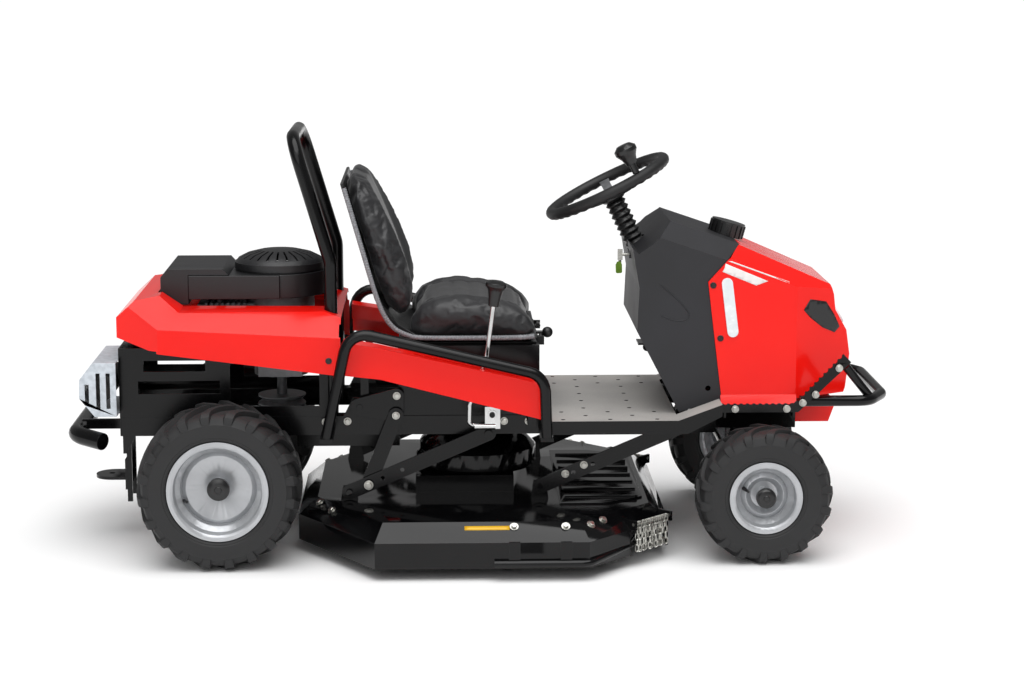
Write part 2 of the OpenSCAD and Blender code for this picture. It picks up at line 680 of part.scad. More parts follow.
module step_plates() color("#b01a16") both() {
    // Folded plate between the bonnet's side and the serrated bar, level and then rising
    translate([609, 0, 0]) rotate([90, 0, 90]) linear_extrude(192)
        polygon([[-step_y + 0.2, 366], [-236, 366], [-222.3, 394], [-222.3, 398], [-238, 369.5], [-step_y + 0.2, 369.5]]);
    difference() {
        upright([[800, 366], [904, 466.5], [904, 471], [798, 369]], -step_y + 0.2, 34);
        translate([790, -238, 384]) rotate([0, 90, 0]) cylinder(r = 14.3, h = 200);
        block(806, 828, -step_y - 1, -220, 370, 400);
    }
}

module front_bumper() color("#161618") {
    z = 384;
    leg_y = 238;
    bent_tube([[808, -leg_y, z], [985, -leg_y, z], [1032.5, -150, z], [1032.5, 150, z], [985, leg_y, z], [808, leg_y, z]],
              28, 50, [0, 0, 1]);
    both() bent_tube([[922, -leg_y - 8, 474], [992, -leg_y + 24, 388]], 22, 10, [0, 1, 0]);
    both() block(810, 824, -step_y + 0.2, -leg_y + 2, z - 6, z + 10);
}

// ---- fuel ----
cap_x = 641;
cap_z = 774;
cap_lean = 15;
neck_r = 33;
module on_filler() translate([cap_x, 0, cap_z]) rotate([0, cap_lean, 0]) children();
module filler(r) on_filler() translate([0, 0, -30]) cylinder(r = r, h = 50);
module fuel_tank() color("#d8d8d2") difference() {
    union() {
        block(626, 800, -146, 146, 560, 680);
        on_filler() translate([0, 0, -110]) cylinder(r = neck_r, h = 122);
        on_filler() translate([0, 0, -8]) cylinder(r = 36, h = 11);
    }
    block(630, 796, -142, 142, 564, 676);
    on_filler() translate([0, 0, -112]) cylinder(r = neck_r - 5, h = 130);
}
module fuel_cap() color("#1b1b1d") on_filler() difference() {
    union() {
        translate([0, 0, 3.4]) cylinder(r = 44, h = 37);
        for (a = [0 : 20 : 340]) rotate(a) translate([42, -3, 4]) cube([5, 6, 32]);
    }
    translate([0, 0, 2]) cylinder(r = neck_r + free_gap, h = 10.5);
}

module ignition_key() color("#c8c8c8") {
    translate([370, -62, 735]) rotate([0, 90, 0]) cylinder(d = 8, h = 34);
    block(358, 371, -64, -60, 721, 749);
    block(360, 368, -63, -61, 690, 722);
}

// ---- steering ----
module on_column() translate([hub_x, 0, hub_z]) rotate([0, -steer_lean, 0]) children();
module steering_boot() color("#161618") on_column() difference() {
    union() {
        for (i = [0 : boot_folds - 1]) translate([0, 0, -42 - i * 16]) rotate_extrude()
            polygon([[13, 0], [boot_r - 7, 0], [boot_r, -8], [boot_r - 7, -16.2], [13, -16.2]]);
        translate([0, 0, -260]) cylinder(r = 17, h = 262 - 42 - 16 * boot_folds);
    }
    translate([0, 0, -270]) cylinder(d = steer_shaft_d + 2 * run_gap, h = 270);
}
module steering_wheel() color("#1d1d1f") on_column() {
    rotate_extrude($fn = 72) translate([wheel_d / 2 - wheel_grip / 2, 0]) circle(d = wheel_grip);
}
module steering_shaft() color("#2b2b2e") on_column() {
    translate([0, 0, -steer_shaft_l]) cylinder(d = steer_shaft_d, h = steer_shaft_l - 20);
    translate([0, 0, -40]) cylinder(r = 32, h = 40);
    for (a = [90, 210, 330]) rotate(a) translate([20, -13, -14]) cube([wheel_d / 2 - wheel_grip - 12, 26, 7]);
}
knob_a = -61;
module spinner_knob() color("#161618") on_column()
    translate([cos(knob_a) * (wheel_d / 2 - 15), sin(knob_a) * (wheel_d / 2 - 15), wheel_grip / 2 + free_gap]) {
        cylinder(r = 9, h = 30);
        rotate_extrude() polygon([[0, 26], [14, 26], [20, 44], [29, 58], [29, 68], [18, 78], [0, 80]]);
    }

// ---- front axle ----
module front_axle_beam() color("#1b1b1d") difference() {
    union() {
        block(front_x - 20, front_x + 20, -kingpin_y + 22, kingpin_y - 22, beam_z - 20, beam_z + 20);
        both() translate([front_x, -kingpin_y, beam_z - 30]) cylinder(r = 24, h = 60);
        translate([front_x - 36, 0, beam_z]) rotate([0, 90, 0]) cylinder(r = 30, h = 72);
    }
    translate([front_x - 60, 0, beam_z]) rotate([0, 90, 0]) cylinder(d = 24 + 2 * run_gap, h = 120);
    both() translate([front_x, -kingpin_y, beam_z - 60]) cylinder(d = kingpin_d + 2 * run_gap, h = 120);
}

module spindle() {
    translate([front_x, -kingpin_y, front_z - 18]) cylinder(d = kingpin_d, h = tie_z + 6 - front_z + 18);
    translate([front_x, -kingpin_y, front_z - 20]) cylinder(r = 24, h = beam_z - 30 - front_z + 19.6);
    pin_y([front_x, front_z], front_shaft_d, -wheel_y - 50, -kingpin_y + 4);
    difference() {
        flat_plan([front_x, -kingpin_y], [front_x - arm_back, -kingpin_y], 34, tie_z - 10, 8);
        translate([front_x - arm_back, -kingpin_y, tie_z - 20]) cylinder(d = bolt_d + 2 * run_gap, h = 30);
    }
}
module flat_plan(a, b, w, z, t) translate([0, 0, z]) linear_extrude(t) bar2d(a, b, w);
module spindle_right() color("#2b2b2e") spindle();
module spindle_left() color("#2b2b2e") mirror([0, 1, 0]) spindle();
module tie_rod() color("#9a9a9c") {
    x = front_x - arm_back;
    // The rod turns on both spindle arms; its right eye is the open pivot
    for (y = [-kingpin_y, kingpin_y]) {
        translate([x, y, tie_z - 13]) cylinder(d = bolt_d, h = 25);
        translate([x, y, tie_z - 1.6]) cylinder(d = 26, h = 16);
    }
    translate([x, kingpin_y, tie_z + 7]) rotate([90, 0, 0]) cylinder(d = 13, h = 2 * kingpin_y);
}

// ---- wheels ----
// Tyre carcass: outer radius, width, rim seat radius
module tyre(r, w, seat) {
    h = w / 2;
    rotate([90, 0, 0]) rotate_extrude($fn = 96) difference() {
        polygon([[seat, -h + 26], [seat + 2.4, -h + 11.2], [seat + 15.6, -h + 11.2], [seat + 22, -h + 4], [(r + seat) / 2 + 10, -h],
                 [r - 22, -h + 5], [r - 6, -h + 14], [r, -h + 30], [r, h - 30], [r - 6, h - 14], [r - 22, h - 5],
                 [(r + seat) / 2 + 10, h], [seat + 22, h - 4], [seat + 15.6, h - 11.2], [seat + 2.4, h - 11.2], [seat, h - 26]]);
        polygon([[seat - 1, -h + 25], [seat + 6, -h + 19], [seat + 22, -h + 13], [(r + seat) / 2 + 10, -h + 9], [r - 22, -h + 20],
                 [r - 18, 0], [r - 22, h - 20], [(r + seat) / 2 + 10, h - 9], [seat + 22, h - 13], [seat + 6, h - 19], [seat - 1, h - 25]]);
    }
}
// Pressed steel rim: flange radius, width between flanges, hub bore; the dished disc faces -Y
module rim(r, w, bore, dish) rotate([90, 0, 0]) {
    h = w / 2;
    difference() {
        rotate_extrude($fn = 96) {
            polygon([[r, -h], [r, -h + 3], [r - 12, -h + 5], [r - 15, -h + 24], [r - 28, -h + 34], [r - 28, h - 34],
                     [r - 15, h - 24], [r - 12, h - 5], [r, h - 3], [r, h], [r - 10, h], [r - 16, h - 3], [r - 18.5, h - 24],
                     [r - 31.5, h - 34], [r - 31.5, -h + 34], [r - 18.5, -h + 24], [r - 16, -h + 3], [r - 10, -h]]);
            polygon([[r - 30, dish], [r - 44, dish + 10], [34, dish - 6], [bore + 10, dish - 6], [bore + 10, dish + 16], [bore, dish + 16],
                     [bore, dish - 34], [bore + 10, dish - 34], [bore + 10, dish - 12], [34, dish - 12], [r - 42, dish + 4],
                     [r - 30, dish - 6]]);
        }
    }
}
module rear_wheel_pos() translate([rear_x, -wheel_y, rear_z]) children();
module front_wheel_pos() translate([front_x, -wheel_y, front_z]) children();
module rear_tyre() rear_wheel_pos() tyre(rear_tyre_d / 2, rear_tyre_w, rear_rim_d / 2 - 14.3);
module front_tyre() front_wheel_pos() tyre(front_tyre_d / 2, front_tyre_w, front_rim_d / 2 - 14.3);
module rear_rim() {
    rear_wheel_pos() rim(rear_rim_d / 2, rear_tyre_w - 12, rear_shaft_d / 2 - 0.5, 30);
    // Shaft stub turns in the transaxle; a cap closes the hub
    translate([rear_x, -wheel_y, rear_z]) rotate([90, 0, 0]) {
        translate([0, 0, -wheel_y + 110]) cylinder(d = rear_shaft_d, h = wheel_y - 110 + 44);
        translate([0, 0, 44]) cylinder(r = 24, h = 12);
    }
}
module front_rim() {
    difference() {
        front_wheel_pos() rim(front_rim_d / 2, front_tyre_w - 12, front_shaft_d / 2 + run_gap, 18);
        pin_y([front_x, front_z], front_shaft_d + 2 * run_gap, -wheel_y - 51, -kingpin_y);
    }
    translate([front_x, -wheel_y, front_z]) rotate([90, 0, 0]) translate([0, 0, 50.4]) cylinder(r = 22, h = 8);
    translate([front_x, -wheel_y, front_z]) rotate([90, 0, 0]) difference() {
        translate([0, 0, 33]) cylinder(r = 22, h = 18);
        translate([0, 0, 30]) cylinder(r = 18, h = 20.2);
    }
}
module rear_tyre_right() color("#242425") rear_tyre();
module rear_tyre_left() color("#242425") mirror([0, 1, 0]) rear_tyre();
module front_tyre_right() color("#242425") front_tyre();
module front_tyre_left() color("#242425") mirror([0, 1, 0]) front_tyre();
module rear_rim_right() color("#b4b7bb") rear_rim();
module rear_rim_left() color("#b4b7bb") mirror([0, 1, 0]) rear_rim();
module front_rim_right() color("#b4b7bb") front_rim();
module front_rim_left() color("#b4b7bb") mirror([0, 1, 0]) front_rim();

// ---- deck ----
function deck_plan(d) = [
    [deck_rear + d, -218 + d * 0.4], [-260 + d * 0.4, -deck_y + d], [262 - d * 0.4, -deck_y + d],
    [deck_front - d, -305 + d * 0.4], [deck_front - d, 305 - d * 0.4], [262 - d * 0.4, deck_y - d],
    [-260 + d * 0.4, deck_y - d], [deck_rear + d, 218 - d * 0.4]];
slope_in = 48;
module deck_body(d) {
    translate([0, 0, deck_low - (d > 0 ? 1 : 0)]) linear_extrude(skirt_h + (d > 0 ? 1.02 : 0.02)) polygon(deck_plan(d));
    hull() {
        translate([0, 0, skirt_top - 0.01]) linear_extrude(0.01) polygon(deck_plan(d));
        translate([0, 0, deck_top - d - 0.01]) linear_extrude(0.01) polygon(deck_plan(slope_in + d * 0.6));
    }
}
module chain_frame() translate([chain_a[0], chain_a[1], chain_z]) rotate(atan2(corner_u[1], corner_u[0])) children();
module deck_shell() color("#161618") {
    difference() {
        union() {
            deck_body(0);
            // Spindle tower
            block(deck_mid_x - 155, 88, -160, 160, deck_top - 1, dome_low);
            translate([deck_mid_x, 0, dome_low - 20]) cylinder(r = 44, h = 36);
        }
        deck_body(deck_wall);
        block(deck_mid_x - 152, 85, -157, 157, deck_top - deck_wall - 1, dome_low - 4);
        translate([deck_mid_x, 0, 100]) cylinder(d = spindle_d + 2 * run_gap, h = 120);
        // Chains hang in the front corners
        both() chain_frame() translate([2, -20, -chain_z]) cube([chain_l - 4, 60, skirt_top + 8]);
    }
    // Spindle bearing housing
    difference() {
        translate([deck_mid_x, 0, dome_low - 60]) cylinder(r = 44, h = 58);
        translate([deck_mid_x, 0, dome_low - 80]) cylinder(d = spindle_d + 2 * run_gap, h = 120);
    }
    // Lugs that hold the chains' bars
    both() chain_frame() for (x = [0, chain_l - lug_t]) difference() {
        translate([x, -8, -14]) cube([lug_t, 42, 24]);
        translate([x - 1, 0, 0]) rotate([0, 90, 0]) cylinder(d = chain_bar_d + 2 * run_gap, h = lug_t + 2);
    }
    // Brackets and pins for the lift arms
    both() {
        for (p = [deck_pin_front, deck_pin_rear]) {
            upright([[p[0] - 22, deck_top - 1], [p[0] + 22, deck_top - 1], [p[0] + 16, p[1] + 16], [p[0] - 16, p[1] + 16]],
                    -arm_y + arm_t + free_gap + 0.4, 6);
            pin_y(p, pivot_d - 4, -arm_y - 10, -arm_y + arm_t + 6);
        }
    }
    // Skid runner along the lower edge and up to the front corner
    both() bent_tube([[30, -deck_y - 8, deck_low + 14], [262, -deck_y - 8, deck_low + 14], [372, -394, deck_low + 26],
                      [404, -364, deck_low + 62]], 18, 40, [0, 0, 1], 12);
    both() for (x = [79, 205]) block(x - 14, x + 14, -deck_y - 6, -deck_y + 1, deck_low + 6, skirt_top + 2);
}

module deck_covers() color("#1d1d20") {
    // Domed belt cover
    difference() {
        translate([deck_mid_x, 0, 0]) rotate_extrude()
            polygon([[0, dome_low + 0.2], [dome_r - 6, dome_low + 0.2], [dome_r, dome_low + 8], [dome_r, 228], [dome_r - 22, 250], [dome_r - 52, 268],
                     [dome_r - 90, 284], [40, dome_top], [0, dome_top]]);
        translate([deck_mid_x, 0, 0]) rotate_extrude()
            polygon([[0, dome_low - 1], [dome_r - 9, dome_low - 1], [dome_r - 4, dome_low + 9], [dome_r - 4, 226], [dome_r - 25, 246],
                     [dome_r - 54, 264], [dome_r - 91, 280], [40, dome_top - 4], [0, dome_top - 4]]);
        block(-220, -150, -62, 62, 200, 262);
    }
    // Front cover plate with ribs
    difference() {
        union() {
            block(200, 412, -300, 300, deck_top + 0.2, deck_top + 4);
            for (y = [-240 : 80 : 240]) block(214, 400, y - 5, y + 5, deck_top + 3.5, deck_top + 9);
        }
        both() translate([0, 0, deck_top - 3]) linear_extrude(30)
            polygon([[300, -301], [413, -301], [413, -230], [372, -262]]);
    }
}

module blade_rotor() color("#6a6c70") {
    blade_spindle();
    blade();
}
module blade_spindle() translate([deck_mid_x, 0, 0]) {
    translate([0, 0, 64]) cylinder(d = spindle_d, h = 196);
    translate([0, 0, 84]) cylinder(r = 38, h = 20);
    for (z = [212]) rotate_extrude() polygon([[14, z], [72, z], [72, z + 4], [60, z + 13], [72, z + 22], [72, z + 26], [14, z + 26]]);
    translate([0, 0, 62]) cylinder(r = 17, h = 12, $fn = 6);
}
module blade() translate([deck_mid_x, 0, 76]) difference() {
    union() {
        block(-blade_d / 2 + 60, blade_d / 2 - 60, -32, 32, 0, 7.8);
        for (a = [0, 180]) rotate(a) linear_extrude(7.8)
            polygon([[blade_d / 2 - 70, -32], [blade_d / 2 - 4, -14], [blade_d / 2 - 10, 40], [blade_d / 2 - 70, 32]]);
    }
    translate([0, 0, -5]) cylinder(d = spindle_d + 0.1, h = 30);
}

// ---- lift linkage ----
module lift_arm(from, hole) {
    foot = [from[0] - arm_dx, from[1] - arm_dz];
    difference() {
        flat_bar(from, foot, arm_w, -arm_y, arm_t);
        pin_y(from, pivot_d + 2 * run_gap, -arm_y - 5, -arm_y + 15);
        pin_y(foot, pivot_d - 4 + 2 * hole, -arm_y - 5, -arm_y + 15);
        for (k = [0.24, 0.38]) pin_y(foot + k * (from - foot), 11, -arm_y - 5, -arm_y + 15);
    }
}
module front_lift_arms() color("#161618") both() lift_arm(front_pivot, run_gap);
module rear_lift_arms() color("#161618") both() {
    difference() {
        lift_arm(rear_pivot, free_gap);
        pin_y(strap_foot, bolt_d - 0.1, -arm_y - 5, -arm_y + 15);
    }
    // Strap bolt
    pin_y(strap_foot, bolt_d, -arm_y - 8, -strap_y + 8);
}
module bell_cranks() color("#1b1b1d") both() difference() {
    union() {
        translate([0, -crank_y, 0]) rotate([90, 0, 0]) linear_extrude(6) hull() {
            translate(crank_pivot) circle(d = 46);
            translate(crank_end) circle(d = 38);
            translate([-209, 400]) circle(d = 36);
        }
        pin_y(crank_end, bolt_d, -strap_y - 6, -crank_y - 5);
    }
    pin_y(crank_pivot, 16 + 2 * run_gap, -crank_y - 20, -crank_y + 10);
}
module lift_straps() color("#161618") both() difference() {
    flat_bar(crank_end, strap_foot, 38, -strap_y - 5, 5);
    pin_y(crank_end, bolt_d + 2 * run_gap, -strap_y - 10, -strap_y + 10);
    pin_y(strap_foot, bolt_d + 2 * strap_play, -strap_y - 10, -strap_y + 10);
}

// ---- levers ----
module lift_lever() color("#c9c5bd") {
    difference() {
        union() {
            block(12, 50, -lever_y - 2, -lever_y + 2, 330, 386);
            pin_y(lever_pivot, 24, -lever_y - 4, -lever_y + 10);
            translate([-14, -lever_y, 336]) rotate([0, 90, 0]) cylinder(d = 16, h = 52);
        }
        pin_y(lever_pivot, 14 + 2 * run_gap, -lever_y - 9, -lever_y + 20);
    }
    bent_tube([[0, -lever_y, 336], [-27, -lever_y, 342], [-26, -lever_y, 392], [16, -lever_y, 512], [36, -lever_y, 660]],
              lever_d, 12, [0, 1, 0], 12);
}
module lever_knob() color("#161618") translate([33.3, -lever_y, 640]) rotate([0, 7.7, 0]) difference() {
    rotate_extrude() polygon([[0, 0], [13, 0], [15, 22], [19, 40], [27, 50], [27, 58], [16, 64], [0, 65]]);
    translate([0, 0, -6]) cylinder(d = lever_d + 0.2, h = 30);
}

module brake_pedal() color("#1b1b1d") difference() {
    union() {
        translate([0, cowl_y + 14, 0]) rotate([90, 0, 0]) linear_extrude(6) hull() {
            translate([560, 446]) circle(d = 28);
            translate([462, 440]) circle(d = 22);
        }
        block(438, 500, cowl_y + 7, cowl_y + 78, 446, 451);
    }
    pin_y([560, 446], 16 + 2 * run_gap, cowl_y - 5, cowl_y + 40);
}

// ---- chains ----
module chain_curtain() chain_frame() {
    rotate([0, 90, 0]) cylinder(d = chain_bar_d, h = chain_l);
    for (i = [0 : chain_count - 1])
        translate([lug_t + 6 + (chain_l - 2 * lug_t - 12) * (i + 0.5) / chain_count, 0, -chain_drop + (i % 2) * 6])
            cylinder(d = 7, h = chain_drop - (i % 2) * 6);
}
module chain_curtain_right() color("#b9bcc0") chain_curtain();
module chain_curtain_left() color("#b9bcc0") mirror([0, 1, 0]) chain_curtain();

main_frame();
rear_plates();
seat_box();
front_subframe();
frame_brackets();
transaxle();
engine_block();
crank_pulley();
muffler();
engine_shroud();
fan_cover();
heat_shield();
rear_bumper();
engine_hood();
side_panels();
guard_rails();
floorboard();
roll_bar();
seat_base();
seat_pan();
seat_cushion();
seat_backrest();
seat_knob();
front_cowl();
front_hood();
lamps();
step_plates();
step_guards();
front_bumper();
fuel_tank();
fuel_cap();
ignition_key();
steering_boot();
steering_wheel();
steering_shaft();
spinner_knob();
front_axle_beam();
spindle_right();
spindle_left();
tie_rod();
front_tyre_right();
front_tyre_left();
front_rim_right();
front_rim_left();
rear_tyre_right();
rear_tyre_left();
rear_rim_right();
rear_rim_left();
deck_shell();
deck_covers();
blade_rotor();
front_lift_arms();
rear_lift_arms();
bell_cranks();
lift_straps();
lift_lever();
lever_knob();
brake_pedal();
chain_curtain_right();
chain_curtain_left();
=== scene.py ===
# Ride-on rough-cut mower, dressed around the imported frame.
# Everything is in metres; a name ending in Mm holds millimetres.
import bpy
import bmesh
import json
import math
from mathutils import Matrix, Vector
from mathutils.bvhtree import BVHTree
from mathutils.geometry import delaunay_2d_cdt

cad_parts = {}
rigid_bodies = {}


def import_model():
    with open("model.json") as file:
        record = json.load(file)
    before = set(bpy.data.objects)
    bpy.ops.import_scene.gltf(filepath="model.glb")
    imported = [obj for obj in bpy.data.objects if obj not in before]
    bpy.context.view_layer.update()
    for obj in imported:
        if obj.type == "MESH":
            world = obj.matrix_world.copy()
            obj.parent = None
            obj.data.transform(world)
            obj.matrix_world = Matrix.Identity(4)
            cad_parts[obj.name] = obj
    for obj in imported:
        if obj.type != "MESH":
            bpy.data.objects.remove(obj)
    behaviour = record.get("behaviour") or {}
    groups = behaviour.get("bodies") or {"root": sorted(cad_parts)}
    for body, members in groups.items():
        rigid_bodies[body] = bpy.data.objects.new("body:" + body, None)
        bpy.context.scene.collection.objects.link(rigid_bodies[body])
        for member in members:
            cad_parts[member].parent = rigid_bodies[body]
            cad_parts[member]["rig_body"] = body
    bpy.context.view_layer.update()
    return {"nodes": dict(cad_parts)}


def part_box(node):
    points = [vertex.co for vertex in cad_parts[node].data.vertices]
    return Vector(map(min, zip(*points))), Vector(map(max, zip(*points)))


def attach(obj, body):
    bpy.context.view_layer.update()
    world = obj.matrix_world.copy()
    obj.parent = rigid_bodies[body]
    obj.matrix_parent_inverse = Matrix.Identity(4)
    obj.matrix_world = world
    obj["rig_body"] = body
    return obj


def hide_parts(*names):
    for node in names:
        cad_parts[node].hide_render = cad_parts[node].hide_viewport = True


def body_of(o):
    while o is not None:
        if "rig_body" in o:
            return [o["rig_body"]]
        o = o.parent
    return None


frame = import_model()
nodes = frame["nodes"]
scene = bpy.context.scene
mm = 0.001
print("frame loaded,", len(nodes), "nodes")


# ---- shader helpers ----
def linearColour(hexText):
    parts = [int(hexText[i:i + 2], 16) / 255 for i in (1, 3, 5)]
    return [c / 12.92 if c <= 0.04045 else ((c + 0.055) / 1.055) ** 2.4 for c in parts] + [1.0]


def addNode(tree, kind, inputs=None, **settings):
    # Inputs are keyed by socket name or number; a socket as a value makes a link
    node = tree.nodes.new("ShaderNode" + kind)
    for name, value in settings.items():
        setattr(node, name, value)
    for key, value in (inputs or {}).items():
        if isinstance(value, bpy.types.NodeSocket):
            tree.links.new(value, node.inputs[key])
        else:
            node.inputs[key].default_value = value
    return node


def surface(name, colours, driftMm, grainMm, grainDepthMm, gloss, grain="noise", fleck=0.0, paintedEdgeTone=None,
            **shader):
    # Two near tones drift over the part, a fine grain gives bump, and the gloss wavers with both
    material = bpy.data.materials.new(name)
    material.use_nodes = True
    tree = material.node_tree
    tree.nodes.clear()
    place = addNode(tree, "TexCoord").outputs["Object"]
    drift = addNode(tree, "TexNoise", {"Vector": place, "Scale": 1000 / driftMm, "Detail": 3.0})
    if grain == "cells":
        fine = addNode(tree, "TexVoronoi", {"Vector": place, "Scale": 1000 / grainMm}, feature="SMOOTH_F1")
    else:
        fine = addNode(tree, "TexNoise", {"Vector": place, "Scale": 1000 / grainMm, "Detail": 2.0})
    share = addNode(tree, "MapRange", {0: drift.outputs[0], 1: 0.35, 2: 0.65})
    tone = addNode(tree, "Mix", {0: share.outputs[0], 6: linearColour(colours[0]), 7: linearColour(colours[1])},
                   data_type="RGBA")
    last = tone
    if fleck:  # light specks of the grain, as in a cast or sprayed texture
        speck = addNode(tree, "MapRange", {0: fine.outputs[0], 1: 0.5, 2: 0.75, 4: fleck})
        last = addNode(tree, "Mix", {0: speck.outputs[0], 6: last.outputs[2], 7: linearColour(colours[2])},
                       data_type="RGBA")
    # Edges found with the Bevel node get a painted tone: lighter ones are a painted highlight, the darker red on
    # the enamel a painted shade
    if paintedEdgeTone:  # painted edge tone: a painted highlight where lighter, a painted shade where darker
        edge = addNode(tree, "Bevel", {"Radius": paintedEdgeTone[1] * mm}, samples=4)
        flat = addNode(tree, "NewGeometry")
        turned = addNode(tree, "VectorMath", {0: edge.outputs[0], 1: flat.outputs["Normal"]},
                         operation="DOT_PRODUCT")
        paintedEdgeShare = addNode(tree, "MapRange", {0: turned.outputs["Value"], 1: 0.985, 2: 0.9, 4: paintedEdgeTone[2]})
        last = addNode(tree, "Mix", {0: paintedEdgeShare.outputs[0], 6: last.outputs[2], 7: linearColour(paintedEdgeTone[0])},
                       data_type="RGBA")
    waver = addNode(tree, "MapRange", {0: drift.outputs[0], 1: 0.3, 2: 0.7, 3: gloss[0], 4: gloss[1]})
    bump = addNode(tree, "Bump", {"Height": fine.outputs[0], "Distance": grainDepthMm * mm, "Strength": 0.6})
    body = addNode(tree, "BsdfPrincipled", {**shader, "Base Color": last.outputs[2],
                                            "Roughness": waver.outputs[0], "Normal": bump.outputs[0]})
    addNode(tree, "OutputMaterial", {"Surface": body.outputs[0]})
    return material


# Baked gloss enamel on pressed sheet: deep even red, faint orange peel about 4 mm across, clear reflections
# Its edges are painted a darker red: a painted edge shade
redEnamel = surface("redEnamel", ["#F4140C", "#FA1A10"], 320, 4.0, 0.02, (0.16, 0.24),
                    paintedEdgeTone=("#C81410", 0.8, 0.35),
                    **{"IOR": 1.5, "Specular IOR Level": 0.22, "Coat Weight": 0.08, "Coat Roughness": 0.05})
# Sprayed and baked powder coat on steel: near black, soft sheen, a 1.5 mm pebble that breaks up highlights
# Its edges are painted a lighter grey: a painted edge highlight
blackPowderCoat = surface("blackPowderCoat", ["#050506", "#0A0A0B"], 180, 1.6, 0.04, (0.16, 0.26),
                          paintedEdgeTone=("#3A3A3C", 0.6, 0.45), **{"IOR": 1.5, "Specular IOR Level": 0.28})
# The same coat laid thicker on the deck, so it flows out smoother
# Its edges are painted a lighter grey: a painted edge highlight
deckCoat = surface("deckCoat", ["#040405", "#0A0A0B"], 140, 2.2, 0.02, (0.07, 0.13),
                   paintedEdgeTone=("#4A4A4B", 0.7, 0.5), **{"IOR": 1.5, "Specular IOR Level": 0.3})
# Moulded polypropylene with a spark-eroded texture: dark charcoal, dull, fine leathery grain
mouldedCharcoal = surface("mouldedCharcoal", ["#1D1D20", "#242428"], 160, 1.4, 0.09, (0.5, 0.6), grain="cells",
                          **{"IOR": 1.49})
# Glass-filled nylon of the blower housing: blacker and a little shinier than the cowl
blowerNylon = surface("blowerNylon", ["#121214", "#1A1A1D"], 120, 1.2, 0.07, (0.4, 0.5), grain="cells",
                      **{"IOR": 1.53})
# Moulded ABS knobs and caps: smooth black with small scuffs
blackAbs = surface("blackAbs", ["#0D0D0E", "#161617"], 40, 0.9, 0.03, (0.28, 0.4), **{"IOR": 1.53})
# Cured tyre rubber: grey-black, chalky between the lugs, no clear reflection
tyreRubber = surface("tyreRubber", ["#171718", "#222223"], 90, 2.0, 0.12, (0.6, 0.76), **{"IOR": 1.52})
# Silver wheel lacquer on pressed steel: bright, fine metallic flake, clear coat
# Its edges are painted a paler silver: a painted edge highlight
wheelSilver = surface("wheelSilver", ["#ABADB0", "#B8BABD"], 60, 0.8, 0.02, (0.3, 0.4),
                      paintedEdgeTone=("#D8DADC", 0.6, 0.4), **{"Metallic": 0.55, "Coat Weight": 0.4, "Coat Roughness": 0.12})
# Hot-dip galvanised sheet: pale blue-grey with crystals some 9 mm across
galvanisedSheet = surface("galvanisedSheet", ["#BAC1C8", "#D2D9E0"], 14, 9.0, 0.03, (0.36, 0.5), grain="cells",
                          **{"Metallic": 0.3})
# Zinc-plated bolts, rods and chain: bright, slightly yellow-grey, small scratches
zincPlate = surface("zincPlate", ["#A9A8A2", "#C6C5BF"], 18, 1.0, 0.04, (0.24, 0.38), **{"Metallic": 1.0})
# Polished chrome lever rod: mirror with hair scratches
chromedRod = surface("chromedRod", ["#BDBDBD", "#D4D4D4"], 30, 1.2, 0.01, (0.08, 0.16), **{"Metallic": 1.0})
# Sand-cast aluminium of the engine and gearbox: dull grey, coarse sandy skin
castAluminium = surface("castAluminium", ["#6F7072", "#86878A"], 30, 1.8, 0.2, (0.46, 0.6), **{"Metallic": 0.7})
# Rolled blade steel: dark mill scale going to grey
millSteel = surface("millSteel", ["#3D3C3B", "#5B5A58"], 25, 2.2, 0.08, (0.42, 0.6), **{"Metallic": 0.8})
# Non-slip paint on the floor plate: black with grit; its warm grey colour is a painted reflection of the sky
gritPaintedSkyReflection = surface("gritPaintedSkyReflection", ["#9E9B98", "#AAA7A3", "#CBC8C4"], 110, 1.7, 0.28, (0.4, 0.52), fleck=0.5,
                    **{"IOR": 1.5})
# Calendered seat vinyl over foam: black, leather grain about 1.6 mm, low sheen
seatVinyl = surface("seatVinyl", ["#1C1C1E", "#252527"], 70, 1.6, 0.16, (0.4, 0.5), grain="cells",
                    **{"IOR": 1.52, "Sheen Weight": 0.15, "Sheen Roughness": 0.4})
# Woven edge braid on the seat: grey nylon with a 3 mm rib
edgeBraid = surface("edgeBraid", ["#6C6D70", "#96979B"], 3.2, 1.2, 0.3, (0.6, 0.75), **{"IOR": 1.53})
# Foamed polyurethane grip: soft black skin with tiny pores
foamGrip = surface("foamGrip", ["#111112", "#19191A"], 60, 1.1, 0.1, (0.5, 0.62), **{"IOR": 1.5})
# Translucent blow-moulded polyethylene of the fuel tank
tankPolyethylene = surface("tankPolyethylene", ["#CFCFC6", "#DCDCD4"], 120, 2.0, 0.06, (0.38, 0.5),
                           **{"IOR": 1.51})
# Frosted polycarbonate light lens: milky white, faint vertical flutes seen as soft shine
frostedLens = surface("frostedLens", ["#DDE4E8", "#EEF3F5"], 30, 1.2, 0.03, (0.2, 0.32),
                      **{"IOR": 1.58, "Coat Weight": 0.5, "Coat Roughness": 0.05})
# Printed vinyl stripe: flat white with a light satin overlaminate
whiteVinyl = surface("whiteVinyl", ["#E9E4E2", "#F3EFED"], 60, 1.5, 0.01, (0.3, 0.38), **{"IOR": 1.5})
# Yellow plastic film strip, blank
yellowFilm = surface("yellowFilm", ["#D8A517", "#E4B423"], 30, 1.0, 0.01, (0.36, 0.44), **{"IOR": 1.5})
# Green key tag
greenTag = surface("greenTag", ["#5E7F22", "#6F9430"], 20, 1.0, 0.03, (0.4, 0.5), **{"IOR": 1.5})
print("finishes mixed")


